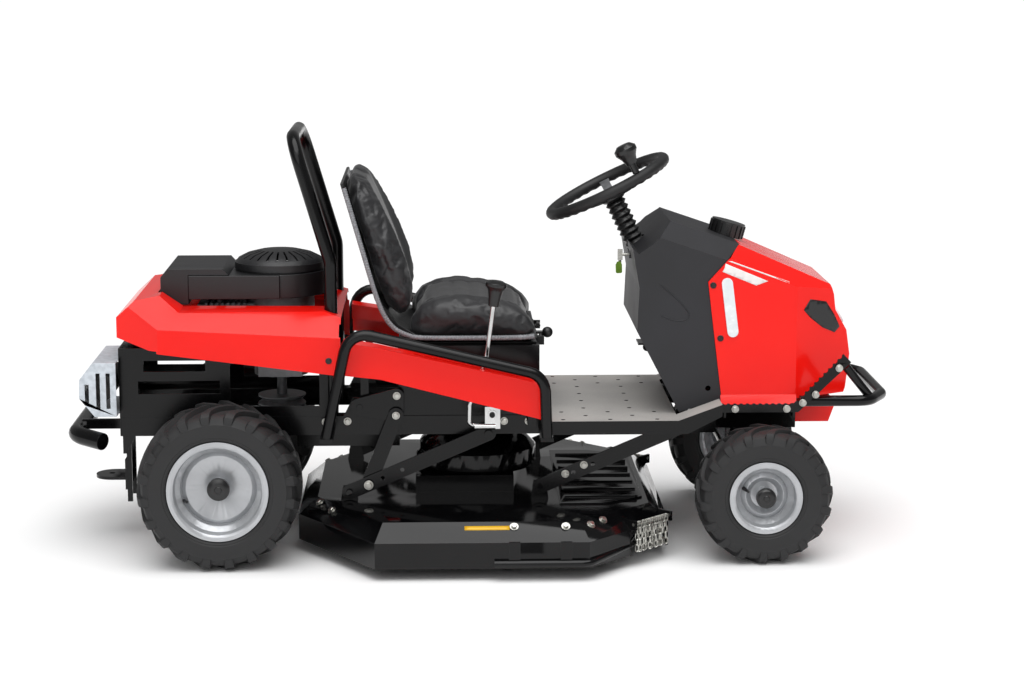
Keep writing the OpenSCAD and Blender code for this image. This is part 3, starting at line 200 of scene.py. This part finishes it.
# ---- mesh helpers ----
def newPiece(name, vertices, faces, material, body, smoothDegrees=35, bevelMm=0.0):
    mesh = bpy.data.meshes.new(name)
    mesh.from_pydata([tuple(v) for v in vertices], [], faces)
    work = bmesh.new()
    work.from_mesh(mesh)
    bmesh.ops.remove_doubles(work, verts=work.verts, dist=0.00001)
    bmesh.ops.recalc_face_normals(work, faces=work.faces)
    work.to_mesh(mesh)
    work.free()
    return dress(name, mesh, material, body, smoothDegrees, bevelMm)


def dress(name, mesh, material, body, smoothDegrees=35, bevelMm=0.0):
    mesh.materials.clear()
    mesh.materials.append(material)
    mesh.shade_smooth()
    mesh.set_sharp_from_angle(angle=math.radians(smoothDegrees))
    piece = bpy.data.objects.new(name, mesh)
    scene.collection.objects.link(piece)
    if bevelMm:
        bevel = piece.modifiers.new("roundedEdge", "BEVEL")
        bevel.width = bevelMm * mm
        bevel.segments = 2
        bevel.limit_method = "ANGLE"
        bevel.angle_limit = math.radians(smoothDegrees)
        bevel.harden_normals = True
    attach(piece, body)
    return piece


def bodyOf(nodeName):
    return body_of(nodes[nodeName])[0]


def skinOf(nodeName, material, bevelMm=1.0):
    # The part's own shape with folded or cast edges instead of knife edges
    mesh = nodes[nodeName].data.copy()
    work = bmesh.new()
    work.from_mesh(mesh)
    bmesh.ops.remove_doubles(work, verts=work.verts, dist=0.00002)
    bmesh.ops.dissolve_limit(work, angle_limit=math.radians(0.8), verts=work.verts, edges=work.edges)
    work.to_mesh(mesh)
    work.free()
    piece = dress(nodeName + "Skin", mesh, material, bodyOf(nodeName), 32, bevelMm)
    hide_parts(nodeName)
    return piece


def polar(radius, turn, height):
    return Vector((radius * math.cos(turn) * mm, radius * math.sin(turn) * mm, height * mm))


def lathe(profile, steps, about, closed=False):
    # Profile points are (radius, height) in mm; about places the axis, local Z up
    vertices, faces = [], []
    count = len(profile)
    for i in range(steps):
        turn = 2 * math.pi * i / steps
        for radius, height in profile:
            vertices.append(about @ polar(radius, turn, height))
    for i in range(steps):
        j = (i + 1) % steps
        for k in range(count if closed else count - 1):
            n = (k + 1) % count
            faces.append((i * count + k, j * count + k, j * count + n, i * count + n))
    return vertices, faces


def prism(outline, lift, about):
    # Outline points in mm in the local XY plane, raised by lift along local Z
    count = len(outline)
    vertices = [about @ Vector((x * mm, y * mm, 0)) for x, y in outline]
    vertices += [about @ Vector((x * mm, y * mm, lift * mm)) for x, y in outline]
    faces = [tuple(range(count))[::-1], tuple(range(count, 2 * count))]
    faces += [(i, (i + 1) % count, (i + 1) % count + count, i + count) for i in range(count)]
    return vertices, faces


def tube(points, diameterMm, sides=10, closed=False):
    # Sweeps a round section along mm points with a frame that never twists
    path = [Vector(p) * mm for p in points]
    count = len(path)
    vertices, faces = [], []
    side = None
    for i, point in enumerate(path):
        ahead = path[(i + 1) % count] if closed or i < count - 1 else point
        behind = path[i - 1] if closed or i else point
        along = (ahead - behind).normalized()
        if side is None:
            side = along.cross(Vector((0.3, 0.2, 1))).normalized()
        side = (side - along * side.dot(along)).normalized()
        other = along.cross(side)
        across = diameterMm[i] if isinstance(diameterMm, list) else diameterMm
        for k in range(sides):
            turn = 2 * math.pi * k / sides
            vertices.append(point + (side * math.cos(turn) + other * math.sin(turn)) * across / 2 * mm)
    for i in range(count if closed else count - 1):
        j = (i + 1) % count
        for k in range(sides):
            n = (k + 1) % sides
            faces.append((i * sides + k, i * sides + n, j * sides + n, j * sides + k))
    if not closed:
        faces += [tuple(range(sides))[::-1], tuple((count - 1) * sides + k for k in range(sides))]
    return vertices, faces


def joined(parts):
    vertices, faces = [], []
    for partVertices, partFaces in parts:
        start = len(vertices)
        vertices += partVertices
        faces += [tuple(start + v for v in face) for face in partFaces]
    return vertices, faces


def facing(point, normal, spin=0.0):
    # A local frame at a mm point with its Z along normal
    turn = Vector(normal).to_track_quat("Z", "Y").to_matrix().to_4x4()
    return Matrix.Translation(Vector(point) * mm) @ turn @ Matrix.Rotation(math.radians(spin), 4, "Z")


def hexBolt(point, normal, acrossMm=17, headMm=7, washerMm=24, spin=12.0):
    # A washer with a chamfered hexagon on it
    about = facing(point, normal, spin)
    washer = lathe([(0, 0), (washerMm / 2 - 0.4, 0), (washerMm / 2, 0.5), (washerMm / 2, 1.8),
                    (washerMm / 2 - 0.5, 2.2), (0, 2.2)], 28, about)
    r = acrossMm / math.sqrt(3)
    head = [], []
    for level, scale in ((2.2, 1.0), (headMm, 1.0), (headMm + 1.2, 0.84)):
        head[0].extend(about @ polar(r * scale, math.radians(60 * k), level) for k in range(6))
    for ring in range(2):
        for k in range(6):
            n = (k + 1) % 6
            head[1].append((ring * 6 + k, ring * 6 + n, ring * 6 + 6 + n, ring * 6 + 6 + k))
    head[1].append(tuple(range(12, 18)))
    return joined([washer, head])


def bolts(name, body, material, places, **size):
    return newPiece(name, *joined([hexBolt(p, n, spin=12 + 17 * i, **size) for i, (p, n) in enumerate(places)]),
                    material, body, 30)


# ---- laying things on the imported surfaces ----
def surfaceOf(*nodeNames):
    vertices, faces = [], []
    for nodeName in nodeNames:
        part, start = nodes[nodeName], len(vertices)
        vertices += [part.matrix_world @ v.co for v in part.data.vertices]
        faces += [[start + i for i in p.vertices] for p in part.data.polygons]
    return BVHTree.FromPolygons(vertices, faces)


def castAt(tree, view, a, b):
    # View -1 looks from the right, 1 from the left and 0 from above; gives the hit and its outward normal
    start, ray = Vector((a, b, 2500)), Vector((0, 0, -1))
    if view:
        start, ray = Vector((a, view * 1500, b)), Vector((0, -view, 0))
    hit, normal = tree.ray_cast(start * mm, ray)[:2]
    if hit is None:
        return None
    return hit, (-normal if normal.dot(ray) > 0 else normal)


def film(name, nodeName, material, outline, views=(-1, 1), thickMm=0.3, liftMm=0.35, gridMm=10):
    # A thin layer that follows the part, cut to an outline seen along one axis
    tree, edge = surfaceOf(nodeName), []
    for start, end in zip(outline, outline[1:] + outline[:1]):
        start, end = Vector(start), Vector(end)
        cuts = max(1, int((end - start).length / gridMm))
        edge += [start.lerp(end, k / cuts) for k in range(cuts)]
    lowA, lowB = min(p.x for p in edge), min(p.y for p in edge)
    countA = int((max(p.x for p in edge) - lowA) / gridMm)
    countB = int((max(p.y for p in edge) - lowB) / gridMm)
    grid = [Vector((lowA + gridMm * (i + 0.5), lowB + gridMm * (j + 0.5)))
            for i in range(countA) for j in range(countB)]
    flat, _, faces = delaunay_2d_cdt(edge + grid, [], [list(range(len(edge)))], 1, 0.001)[:3]
    parts = []
    for view in views:
        spots = [castAt(tree, view, p.x, p.y) for p in flat]
        kept = [face for face in faces if all(spots[i] for i in face)]
        used = sorted({i for face in kept for i in face})
        order = {old: new for new, old in enumerate(used)}
        lifted = [spots[i][0] + spots[i][1] * liftMm * mm for i in used]
        parts.append((lifted, [tuple(order[i] for i in face) for face in kept]))
    piece = newPiece(name, *joined(parts), material, bodyOf(nodeName), 40)
    layer = piece.modifiers.new("layer", "SOLIDIFY")
    layer.thickness = thickMm * mm
    layer.offset = 0
    return piece


def sideBolts(name, nodeNames, material, spots, views=(-1, 1), **size):
    tree, places = surfaceOf(*nodeNames), []
    for view in views:
        for a, b in spots:
            spot = castAt(tree, view, a, b)
            if spot:
                places.append((spot[0] / mm, spot[1]))
    return bolts(name, bodyOf(nodeNames[0]), material, places, **size)


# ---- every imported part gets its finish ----
finishOf = {
    blackPowderCoat: ["main_frame", "rear_plates", "seat_box", "front_subframe", "frame_brackets", "roll_bar",
                      "guard_rails", "front_bumper", "step_guards",
                      "front_axle_beam", "front_lift_arms", "rear_lift_arms", "bell_cranks", "lift_straps",
                      "rear_bumper", "brake_pedal", "seat_base", "spindle_right", "spindle_left"],
    deckCoat: ["deck_shell", "deck_covers"],
    redEnamel: ["engine_hood", "side_panels", "front_hood", "step_plates"],
    mouldedCharcoal: ["front_cowl"],
    blowerNylon: ["engine_shroud", "fan_cover"],
    blackAbs: ["seat_knob", "steering_boot", "spinner_knob", "lever_knob", "fuel_cap", "seat_pan"],
    castAluminium: ["engine_block", "transaxle", "crank_pulley"],
    millSteel: ["muffler", "blade_rotor"],
    galvanisedSheet: ["heat_shield"],
    zincPlate: ["tie_rod", "ignition_key"],
    chromedRod: ["lift_lever"],
    gritPaintedSkyReflection: ["floorboard"],
    tankPolyethylene: ["fuel_tank"],
    frostedLens: ["lamps"],
    wheelSilver: ["rear_rim_right", "rear_rim_left", "front_rim_right", "front_rim_left"],
}
edgeMm = {"fan_cover": 0.6, "ignition_key": 0.3, "fuel_cap": 0.8, "floorboard": 0.6, "tie_rod": 0.5,
          "heat_shield": 0.8, "engine_hood": 2.2, "front_hood": 3.0, "front_cowl": 4.0, "side_panels": 1.6,
          "engine_shroud": 3.6, "seat_pan": 2.0, "deck_shell": 1.5, "rear_rim_right": 1.2, "rear_rim_left": 1.2,
          "front_rim_right": 1.2, "front_rim_left": 1.2}
for finish, names in finishOf.items():
    for nodeName in names:
        skinOf(nodeName, finish, edgeMm.get(nodeName, 1.0))
# The floor plate's top faces take the grey grit paint, a painted sky reflection; its folded edges keep the black
# coat
floorSkin = scene.objects["floorboardSkin"]
floorSkin.data.materials.append(blackPowderCoat)
for face in floorSkin.data.polygons:
    face.material_index = 0 if face.normal.z > 0.8 else 1
print("packed parts skinned")


# ---- tyres and rims ----
def lugTyre(name, nodeName, size):
    low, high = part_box(nodeName)
    centre = (low + high) / 2
    outward = 1 if centre.y > 0 else -1
    r, w = (high.x - low.x) / 2 / mm, (high.y - low.y) / mm
    half, depth, seat = w / 2, size["lugDepthMm"], size["seatMm"]
    about = Matrix.Translation(centre) @ Matrix.Rotation(math.radians(-90 * outward), 4, "X")
    wall = [(seat, 11), (seat + 15, 11), (seat + 17, 7), (seat + 21, 4.2), (seat + 24, 4.6), (seat + 27, 2.6),
            ((r + seat) / 2 + 4, 0.6), ((r + seat) / 2 + 8, 1.2), ((r + seat) / 2 + 12, 0.4),
            (r - depth - 18, 3), (r - depth - 8, 8), (r - depth - 2, 17), (r - depth, 30)]
    profile = [(seat, 26)] + wall
    outline = [(x, -half + z) for x, z in profile] + [(r - depth + 1, 0)]
    outline += [(x, half - z) for x, z in profile[::-1]]
    parts = [lathe(outline, 120, about, closed=True)]
    for side in (-1, 1):
        for i in range(size["lugs"]):
            start = 2 * math.pi * (i + (0.5 if side > 0 else 0)) / size["lugs"]
            parts.append(lug(r, half, depth, side, start, size, about))
    piece = newPiece(name, *joined(parts), tyreRubber, bodyOf(nodeName), 28)
    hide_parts(nodeName)
    return piece


def lug(r, half, depth, side, start, size, about):
    # One bar of the chevron: from just past the middle, out over the shoulder and down the side
    stations = [(-0.05, 0, 1.0), (0.15, 0.3, 1.0), (0.35, 0.8, 1.0), (0.55, 1.8, 1.05), (0.72, 3.5, 1.15),
                (0.86, 7, 1.25), (0.95, 14, 1.3), (0.985, 24, 1.3), (0.99, 33, 1.2)]
    vertices, faces = [], []
    for across, drop, wide in stations:
        angle = start + size["sweep"] * (1 - math.exp(-2.2 * max(across, 0)))
        top = r - drop
        halfWide = size["lugWideMm"] / 2 * wide
        foot = top - depth - 1.5 if across < 0.9 else top - 2
        inward = 0 if across < 0.9 else 6
        corners = (foot, 1.35, inward), (top, 1.0, 0), (top, -1.0, 0), (foot, -1.35, inward)
        for radius, spread, pull in corners:
            height = side * (across * half - pull)
            vertices.append(about @ polar(radius, angle + spread * halfWide / r, height))
    for i in range(len(stations) - 1):
        for k in range(4):
            n = (k + 1) % 4
            faces.append((i * 4 + k, i * 4 + n, i * 4 + 4 + n, i * 4 + 4 + k))
    last = (len(stations) - 1) * 4
    faces += [(0, 1, 2, 3), (last + 3, last + 2, last + 1, last)]
    return vertices, faces


rearTyre = {"lugs": 20, "lugDepthMm": 13, "lugWideMm": 17, "sweep": 0.34, "seatMm": 110.7}
frontTyre = {"lugs": 18, "lugDepthMm": 10, "lugWideMm": 15, "sweep": 0.36, "seatMm": 76.7}
for sideName in ("right", "left"):
    lugTyre("rearTyre" + sideName.capitalize(), "rear_tyre_" + sideName, rearTyre)
    lugTyre("frontTyre" + sideName.capitalize(), "front_tyre_" + sideName, frontTyre)


def hubTrim(axle, sideName, size):
    # Black push-on cap over the hub and a rubber valve stem by the rim bed
    low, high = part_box(axle + "_tyre_" + sideName)
    centre = (low + high) / 2 / mm
    outward = 1 if centre.y > 0 else -1
    body = bodyOf(axle + "_rim_" + sideName)
    name = axle + sideName.capitalize()
    r, rise = size["capMm"], size["faceMm"]
    face = facing(centre + Vector((0, outward * rise, 0)), (0, outward, 0))
    dome = [(0, 7.5), (r * 0.3, 7.5), (r * 0.36, 6), (r * 0.62, 6), (r * 0.86, 4.6), (r, 1.5),
            (r + 3, 0.6), (r + 3, -9), (r, -9.5), (0, -9.5)]
    newPiece(name + "HubCap", *lathe(dome, 48, face), blackAbs, body, 30)
    middle = facing(centre, (0, outward, 0), size["valveDegrees"])
    reach, stand = size["valveMm"]
    stem = [middle @ (Vector((reach - k * 0.42, 0, stand + k)) * mm) / mm for k in (0, 6, 12, 18, 24)]
    newPiece(name + "Valve", *tube(stem, [11, 9.5, 8, 7, 6.4], 12), blackAbs, body, 40)


rearTrim = {"capMm": 25, "faceMm": 57, "valveMm": (91, 43), "valveDegrees": 200}
frontTrim = {"capMm": 22, "faceMm": 58.6, "valveMm": (57, 30), "valveDegrees": 160}
for sideName in ("right", "left"):
    hubTrim("rear", sideName, rearTrim)
    hubTrim("front", sideName, frontTrim)
print("tyres cured")


# ---- steering wheel ----
hubMm, columnLeanDegrees = (335, 0, 905), -26.3
column = Matrix.Translation(Vector(hubMm) * mm) @ Matrix.Rotation(math.radians(columnLeanDegrees), 4, "Y")


def gripWheel(size):
    vertices, faces = [], []
    big, small, around = size["rimMm"] / 2 - size["gripMm"] / 2, size["gripMm"] / 2, 18
    steps = size["steps"]
    for i in range(steps):
        turn = 2 * math.pi * i / steps
        for k in range(around):
            roll = 2 * math.pi * k / around
            under = max(0, -math.sin(roll))
            bumpMm = size["fingerMm"] * under * (0.5 + 0.5 * math.cos(turn * size["fingers"]))
            radius = small - size["fingerMm"] * under + bumpMm
            vertices.append(column @ polar(big + radius * math.cos(roll), turn, radius * math.sin(roll)))
    for i in range(steps):
        j = (i + 1) % steps
        for k in range(around):
            n = (k + 1) % around
            faces.append((i * around + k, j * around + k, j * around + n, i * around + n))
    piece = newPiece("gripRim", vertices, faces, foamGrip, "steering", 80)
    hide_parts("steering_wheel")
    return piece


gripWheel({"rimMm": 350, "gripMm": 30, "fingerMm": 2.0, "fingers": 36, "steps": 216})


def spokeLoft(about, stations):
    # Stations are (reach, top height, half width, thickness) in mm along local X
    vertices, faces = [], []
    for reach, top, half, thick in stations:
        c = thick * 0.3
        ring = [(-half + c, 0), (half - c, 0), (half, -c), (half, -thick + c), (half - c, -thick),
                (-half + c, -thick), (-half, -thick + c), (-half, -c)]
        vertices += [about @ (Vector((reach, y, top + z)) * mm) for y, z in ring]
    for i in range(len(stations) - 1):
        faces += [(i * 8 + k, i * 8 + (k + 1) % 8, i * 8 + 8 + (k + 1) % 8, i * 8 + 8 + k)
                  for k in range(8)]
    return vertices, faces + [tuple(range(8)), tuple(len(vertices) - 1 - k for k in range(8))]


def wheelHub(size):
    # Dished hub and three ribbed arms, with satin silver strips on the arm tops as a painted highlight
    r, shaft = size["hubMm"], size["shaftMm"]
    dish = [(0, -10), (r * 0.6, -10), (r * 0.82, -13), (r, -20), (r, -35), (r * 0.8, -41), (shaft, -41.5)]
    black = [lathe(dish + [(shaft, -636), (0, -640)], 40, column)]
    silver = []
    for degrees in (90, 210, 330):
        arm = column @ Matrix.Rotation(math.radians(degrees), 4, "Z")
        black.append(spokeLoft(arm, [(22, -24, 18, 12), (60, -23, 12, 8), (110, -11, 10, 6), (152, -1, 13, 6)]))
        for side in (-1, 1):
            rib = arm @ Matrix.Translation(Vector((0, side * 12, 0)) * mm)
            black.append(spokeLoft(rib, [(24, -14, 3, 20), (52, -18, 2.4, 12), (80, -16, 2, 7)]))
        # Silver strips along the top of each arm: a painted highlight on the black spokes
        highlightStrip = [(58, -19.4, 13, 4), (84, -13.6, 12, 4), (110, -7.6, 12, 4), (140, -0.6, 14, 4)]
        silver.append(spokeLoft(arm, highlightStrip))
    piece = newPiece("wheelHub", *joined(black), blackAbs, "steering", 32)
    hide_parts("steering_shaft")
    newPiece("wheelSpokeHighlights", *joined(silver), castAluminium, "steering", 32)


wheelHub({"hubMm": 34, "shaftMm": 10.9})
print("steering wheel wrapped")


# ---- seat ----
def padLoft(sections):
    # Each section is a ring of points in metres; the ends are closed
    count = len(sections[0])
    vertices = [p for ring in sections for p in ring]
    faces = []
    for i in range(len(sections) - 1):
        for k in range(count):
            n = (k + 1) % count
            faces.append((i * count + k, i * count + n, (i + 1) * count + n, (i + 1) * count + k))
    faces.append(tuple(range(count))[::-1])
    faces.append(tuple((len(sections) - 1) * count + k for k in range(count)))
    return vertices, faces


def swell(piece, pressure, capMm, voxelMm):
    # Foam under stretched vinyl: the cover fills out between its seams
    remesh = piece.modifiers.new("remesh", "REMESH")
    remesh.mode = "VOXEL"
    remesh.voxel_size = voxelMm * mm
    applyModifiers(piece)
    start = [v.co.copy() for v in piece.data.vertices]
    cloth = piece.modifiers.new("foam", "CLOTH")
    cloth.settings.use_pressure = True
    cloth.settings.uniform_pressure_force = pressure
    cloth.settings.effector_weights.gravity = 0
    cloth.settings.tension_stiffness = 20
    cloth.settings.compression_stiffness = 20
    for tick in range(1, 21):
        scene.frame_set(tick)
    applyModifiers(piece)
    scene.frame_set(1)
    for vertex, home in zip(piece.data.vertices, start):
        away = vertex.co - home
        if away.length > capMm * mm:
            vertex.co = home + away.normalized() * capMm * mm
    smooth = piece.modifiers.new("round", "SUBSURF")
    smooth.levels = smooth.render_levels = 1
    applyModifiers(piece)
    piece.data.shade_smooth()
    return piece


def applyModifiers(piece):
    graph = bpy.context.evaluated_depsgraph_get()
    shaped = bpy.data.meshes.new_from_object(piece.evaluated_get(graph))
    piece.modifiers.clear()
    piece.data = shaped


def cushionRing(x, top, low, half, bolster):
    # Half section mirrored: flat base, pulled-in side, raised bolster, pleated middle
    pleat = 6 * (1 - abs(math.sin(math.pi * (x + 150) / 42))) ** 2 if -150 < x < 120 else 0
    right = [(0, low), (half - 26, low), (half - 8, low + 6), (half - 4, low + 16), (half - 9, (top + low) / 2),
             (half - 3, top - 16), (half - 14, top - 2 + bolster * 0.4), (half - 38, top + bolster),
             (half - 66, top + bolster * 0.6), (half - 88, top - 9), (half - 96, top - 4 - pleat),
             (60, top - 5 - pleat), (0, top - 5 - pleat)]
    ring = [(x, -y, z) for y, z in right] + [(x, y, z) for y, z in right[-2:0:-1]]
    return [Vector(p) * mm for p in ring]


# Along the seat: distance forward, bolster top, underside, half width and bolster rise
cushionEdge = [(-178, 590, 552, 196, 3), (-150, 610, 549, 210, 8), (-110, 624, 548, 218, 9),
               (-60, 628, 548, 221, 9), (0, 623, 548, 222, 8), (60, 613, 548, 222, 7),
               (100, 603, 549, 221, 5), (128, 592, 551, 218, 3),
               (142, 577, 556, 212, 1), (147, 565, 558, 206, 0)]


def between(stations, x):
    # The values of the two stations on either side of x, mixed in proportion
    for before, after in zip(stations, stations[1:]):
        if before[0] <= x <= after[0]:
            share = (x - before[0]) / (after[0] - before[0])
            return [a + (b - a) * share for a, b in zip(before, after)]


cushionStations = [between(cushionEdge, x) for x in [-178, -170, -160] + list(range(-150, 140, 6)) + [142, 147]]
cushion = newPiece("seatCushionVinyl", *padLoft([cushionRing(*s) for s in cushionStations]), seatVinyl, "seat")
swell(cushion, 4.0, 18, 6)
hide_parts("seat_cushion")


def backRing(along, half, thick, wing):
    # A slice across the backrest: the wings come forward of the middle
    foot, head = Vector((-206, 0, 590)), Vector((-330, 0, 962))
    lean = (head - foot).normalized()
    front = Vector((lean.z, 0, -lean.x))
    middle = foot + (head - foot) * along
    bow = 10 * math.sin(math.pi * min(max(along, 0), 1))
    right = [(0, 0), (half - 24, 0), (half - 6, 6), (half - 2, 18), (half - 6, thick * 0.6),
             (half - 4, thick + wing * 0.5), (half - 20, thick + wing), (half - 46, thick + wing * 0.8),
             (half - 78, thick - 4), (60, thick - 8 + bow), (0, thick - 8 + bow)]
    ring = [middle + front * z + Vector((0, -y, 0)) for y, z in right]
    ring += [middle + front * z + Vector((0, y, 0)) for y, z in right[-2:0:-1]]
    return [p * mm for p in ring]


# Up the backrest: share of its height, half width, thickness and wing
backStations = [(0.0, 176, 22, 4), (0.04, 190, 30, 8), (0.14, 206, 36, 16), (0.3, 214, 38, 22),
                (0.5, 214, 36, 20), (0.68, 206, 32, 14), (0.82, 190, 28, 8), (0.92, 168, 24, 4),
                (0.975, 138, 18, 2), (1.0, 112, 12, 0)]
back = newPiece("seatBackVinyl", *padLoft([backRing(*s) for s in backStations]), seatVinyl, "seat")
swell(back, 4.0, 16, 6)
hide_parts("seat_backrest")


def smoothPath(points, stepMm):
    # Catmull-Rom curve through mm points
    points = [Vector(p) for p in points]
    ends = [points[0] * 2 - points[1]] + points + [points[-1] * 2 - points[-2]]
    path = []
    for a, b, c, d in zip(ends, ends[1:], ends[2:], ends[3:]):
        count = max(2, int((c - b).length / stepMm))
        for k in range(count):
            t = k / count
            bend, twist = a * 2 - b * 5 + c * 4 - d, b * 3 - a - c * 3 + d
            path.append((b * 2 + (c - a) * t + bend * t * t + twist * t ** 3) / 2)
    return path + [points[-1]]


def seatPiping(size):
    # A ribbed grey cord sewn round the edge of the seat on both sides
    profile = [(-336, 925), (-300, 800), (-262, 668), (-240, 610), (-215, 575), (-180, 556), (-140, 549),
               (0, 548), (100, 549), (138, 552)]
    parts = []
    for side in (-1, 1):
        drawnIn = [14 if z > 900 else 4 if z > 780 else 0 for x, z in profile]
        path = smoothPath([(x, side * (size["wideMm"] - d), z) for (x, z), d in zip(profile, drawnIn)], 2.0)
        ribs = [size["cordMm"] * (1 + 0.14 * math.cos(2 * math.pi * i / 3)) for i in range(len(path))]
        parts.append(tube(path, ribs, 8))
    newPiece("seatPiping", *joined(parts), edgeBraid, "seat", 50)


seatPiping({"wideMm": 226, "cordMm": 12})
print("seat upholstered")


# ---- chains ----
def chainCurtain(nodeName, side, size):
    # Strands of welded links hung close together along a bar across the deck's corner
    low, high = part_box(nodeName)
    middle = (low + high) / 2 / mm
    middle.z = high.z / mm - 4
    along = Vector((math.sqrt(0.5), -side * math.sqrt(0.5), 0))
    out = Vector((math.sqrt(0.5), side * math.sqrt(0.5), 0))
    half = size["barMm"] / 2
    parts = [tube([middle - along * half, middle + along * half], 8, 16)]
    for i in range(size["strands"]):
        top = middle + along * (size["spanMm"] * ((i + 0.5) / size["strands"] - 0.5))
        for j in range(size["links"]):
            spin = math.radians(45 + 90 * j + 14 * math.sin(3.7 * i + j))
            wide = along * math.cos(spin) + out * math.sin(spin)
            sway = out * (1.6 * math.sin(2.3 * i) * j) + along * (0.7 * math.sin(4.1 * i) * j)
            centre = top + sway - Vector((0, 0, 4 + size["pitchMm"] * j))
            loop = []
            for k in range(12):
                turn = 2 * math.pi * (k + 0.5) / 12
                straight = math.copysign(size["tallMm"] - size["wideMm"], math.sin(turn))
                rise = Vector((0, 0, straight + size["wideMm"] * math.sin(turn)))
                loop.append(centre + wide * size["wideMm"] * math.cos(turn) + rise)
            parts.append(tube(loop, size["wireMm"], 6, closed=True))
    piece = newPiece(nodeName.split("_")[2] + "Chains", *joined(parts), zincPlate, bodyOf(nodeName), 60)
    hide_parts(nodeName)


chains = {"barMm": 142, "spanMm": 118, "strands": 16, "links": 5, "pitchMm": 14.4,
          "wideMm": 4.6, "tallMm": 9.0, "wireMm": 3.8}
chainCurtain("chain_curtain_right", -1, chains)
chainCurtain("chain_curtain_left", 1, chains)
print("chains hung")


# ---- films, trims and fasteners ----
film("hoodFlash", "front_hood", whiteVinyl, [(600, 716), (617, 733), (725, 688), (695, 677)])
film("hoodStripe", "front_hood", whiteVinyl, [(623, 742.5), (779, 685.5), (779, 682), (623, 739)])
lampBrow = [(818, 612), (836, 638), (880, 628), (903, 594), (920, 560), (906, 546), (872, 562), (838, 590)]
film("lampBrow", "front_hood", blackAbs, lampBrow, thickMm=1.2, liftMm=0.7)
film("deckStrip", "deck_shell", yellowFilm, [(-42, 119), (68, 119), (68, 127), (-42, 127)])


def embossedLine(name, nodeName, material, points, wideMm):
    # A moulded ridge that follows the part's side, mirrored on the other side
    tree, parts = surfaceOf(nodeName), []
    for view in (-1, 1):
        path = [castAt(tree, view, p.x, p.y) for p in smoothPath([(x, z, 0) for x, z in points], 4)]
        parts.append(tube([spot[0] / mm for spot in path], wideMm, 8))
    newPiece(name, *joined(parts), material, bodyOf(nodeName), 50)


embossedLine("cowlRidge", "front_cowl", mouldedCharcoal,
             [(454, 679), (490, 650), (520, 618), (528, 601), (516, 589), (489, 589), (458, 601)], 3.4)
brackets = ("main_frame", "frame_brackets")
sideBolts("frameBolts", brackets, zincPlate, [(-389, 332), (-334, 332), (62, 330), (124, 330), (176, 332)],
          acrossMm=13, headMm=6, washerMm=20)
sideBolts("guardBolts", ("step_guards",), zincPlate,
          [(641, 371), (771, 371), (811, 386), (843, 407), (901, 474)], acrossMm=13, headMm=5, washerMm=19)
sideBolts("hoodScrews", ("front_hood",), blackAbs, [(587, 678), (607, 543)], acrossMm=9, headMm=4,
          washerMm=16)
sideBolts("frontArmBolts", ("front_lift_arms",), zincPlate, [(216, 200), (263, 223)], acrossMm=13,
          headMm=6, washerMm=20)
sideBolts("rearArmBolts", ("rear_lift_arms",), zincPlate, [(22, 306), (-281, 176)], acrossMm=15,
          headMm=7, washerMm=24)
sideBolts("crankBolts", ("bell_cranks",), zincPlate, [(-303, 371), (-211, 352), (-209, 400)], acrossMm=13,
          headMm=6, washerMm=20)
sideBolts("deckBolts", ("deck_shell",), zincPlate,
          [(79, 125), (205, 125), (267, 124), (299, 126), (-425, 126), (-405, 127), (-372, 122)],
          acrossMm=13, headMm=7, washerMm=22)
sideBolts("hoodPlugs", ("engine_hood",), blackAbs, [(-375, 505)], acrossMm=10, headMm=2.6, washerMm=16)


def keyTag(size):
    # A blank plastic tag hung from the ignition key
    w, h = size["wideMm"] / 2, size["tallMm"] / 2
    shape = (-0.7, -1), (0.7, -1), (1, -0.8), (1, 0.5), (0.5, 1), (-0.5, 1), (-1, 0.5), (-1, -0.8)
    outline = [(w * x, h * y) for x, y in shape]
    about = facing((361, -66, 702), (0.25, -1, 0.1))
    newPiece("keyTag", *prism(outline, 2.0, about), greenTag, bodyOf("ignition_key"), 30, 0.4)


keyTag({"wideMm": 17, "tallMm": 30})
print("trims and fasteners on")


# ---- floor, light and camera ----
def studio(look):
    floorMesh = bpy.data.meshes.new("studioFloor")
    reach = look["floorM"]
    floorMesh.from_pydata([(-reach, -reach, -0.0005), (reach, -reach, -0.0005), (reach, reach, -0.0005),
                           (-reach, reach, -0.0005)], [], [(0, 1, 2, 3)])
    floor = bpy.data.objects.new("studioFloor", floorMesh)
    scene.collection.objects.link(floor)
    floorMesh.materials.append(surface("paleFloorPaint", ["#FCFCFC", "#FDFDFD"], 900, 6.0, 0.0, (0.6, 0.61)))
    world = bpy.data.worlds.new("paleStudio")
    scene.world = world
    world.use_nodes = True
    world.node_tree.nodes["Background"].inputs["Color"].default_value = (1, 1, 1, 1)
    world.node_tree.nodes["Background"].inputs["Strength"].default_value = look["fill"]
    for name, strength, spread, tilt, turn in look["suns"]:
        lamp = bpy.data.lights.new(name, "SUN")
        lamp.energy = strength
        lamp.angle = math.radians(spread)
        sun = bpy.data.objects.new(name, lamp)
        sun.rotation_euler = (math.radians(tilt), 0, math.radians(turn))
        scene.collection.objects.link(sun)
    lens = bpy.data.cameras.new("longLens")
    lens.lens = look["lensMm"]
    lens.sensor_width = look["sensorMm"]
    camera = bpy.data.objects.new("camera", lens)
    camera.location = look["cameraM"]
    camera.rotation_euler = [math.radians(turn) for turn in look["cameraDegrees"]]
    scene.collection.objects.link(camera)
    scene.camera = camera
    scene.view_settings.view_transform = "Standard"


# Each sun has a strength, a spread, a tilt from overhead and a turn, in degrees
studio({"floorM": 60, "fill": 0.26, "suns": [("topSoftbox", 2.6, 60, 16, 10), ("frontSoftbox", 0.8, 50, 58, -15)],
        "lensMm": 81.3, "sensorMm": 36, "cameraM": (-0.095, -5.94, 1.558), "cameraDegrees": (79.9, 0, -1.77)})
print("studio lit")
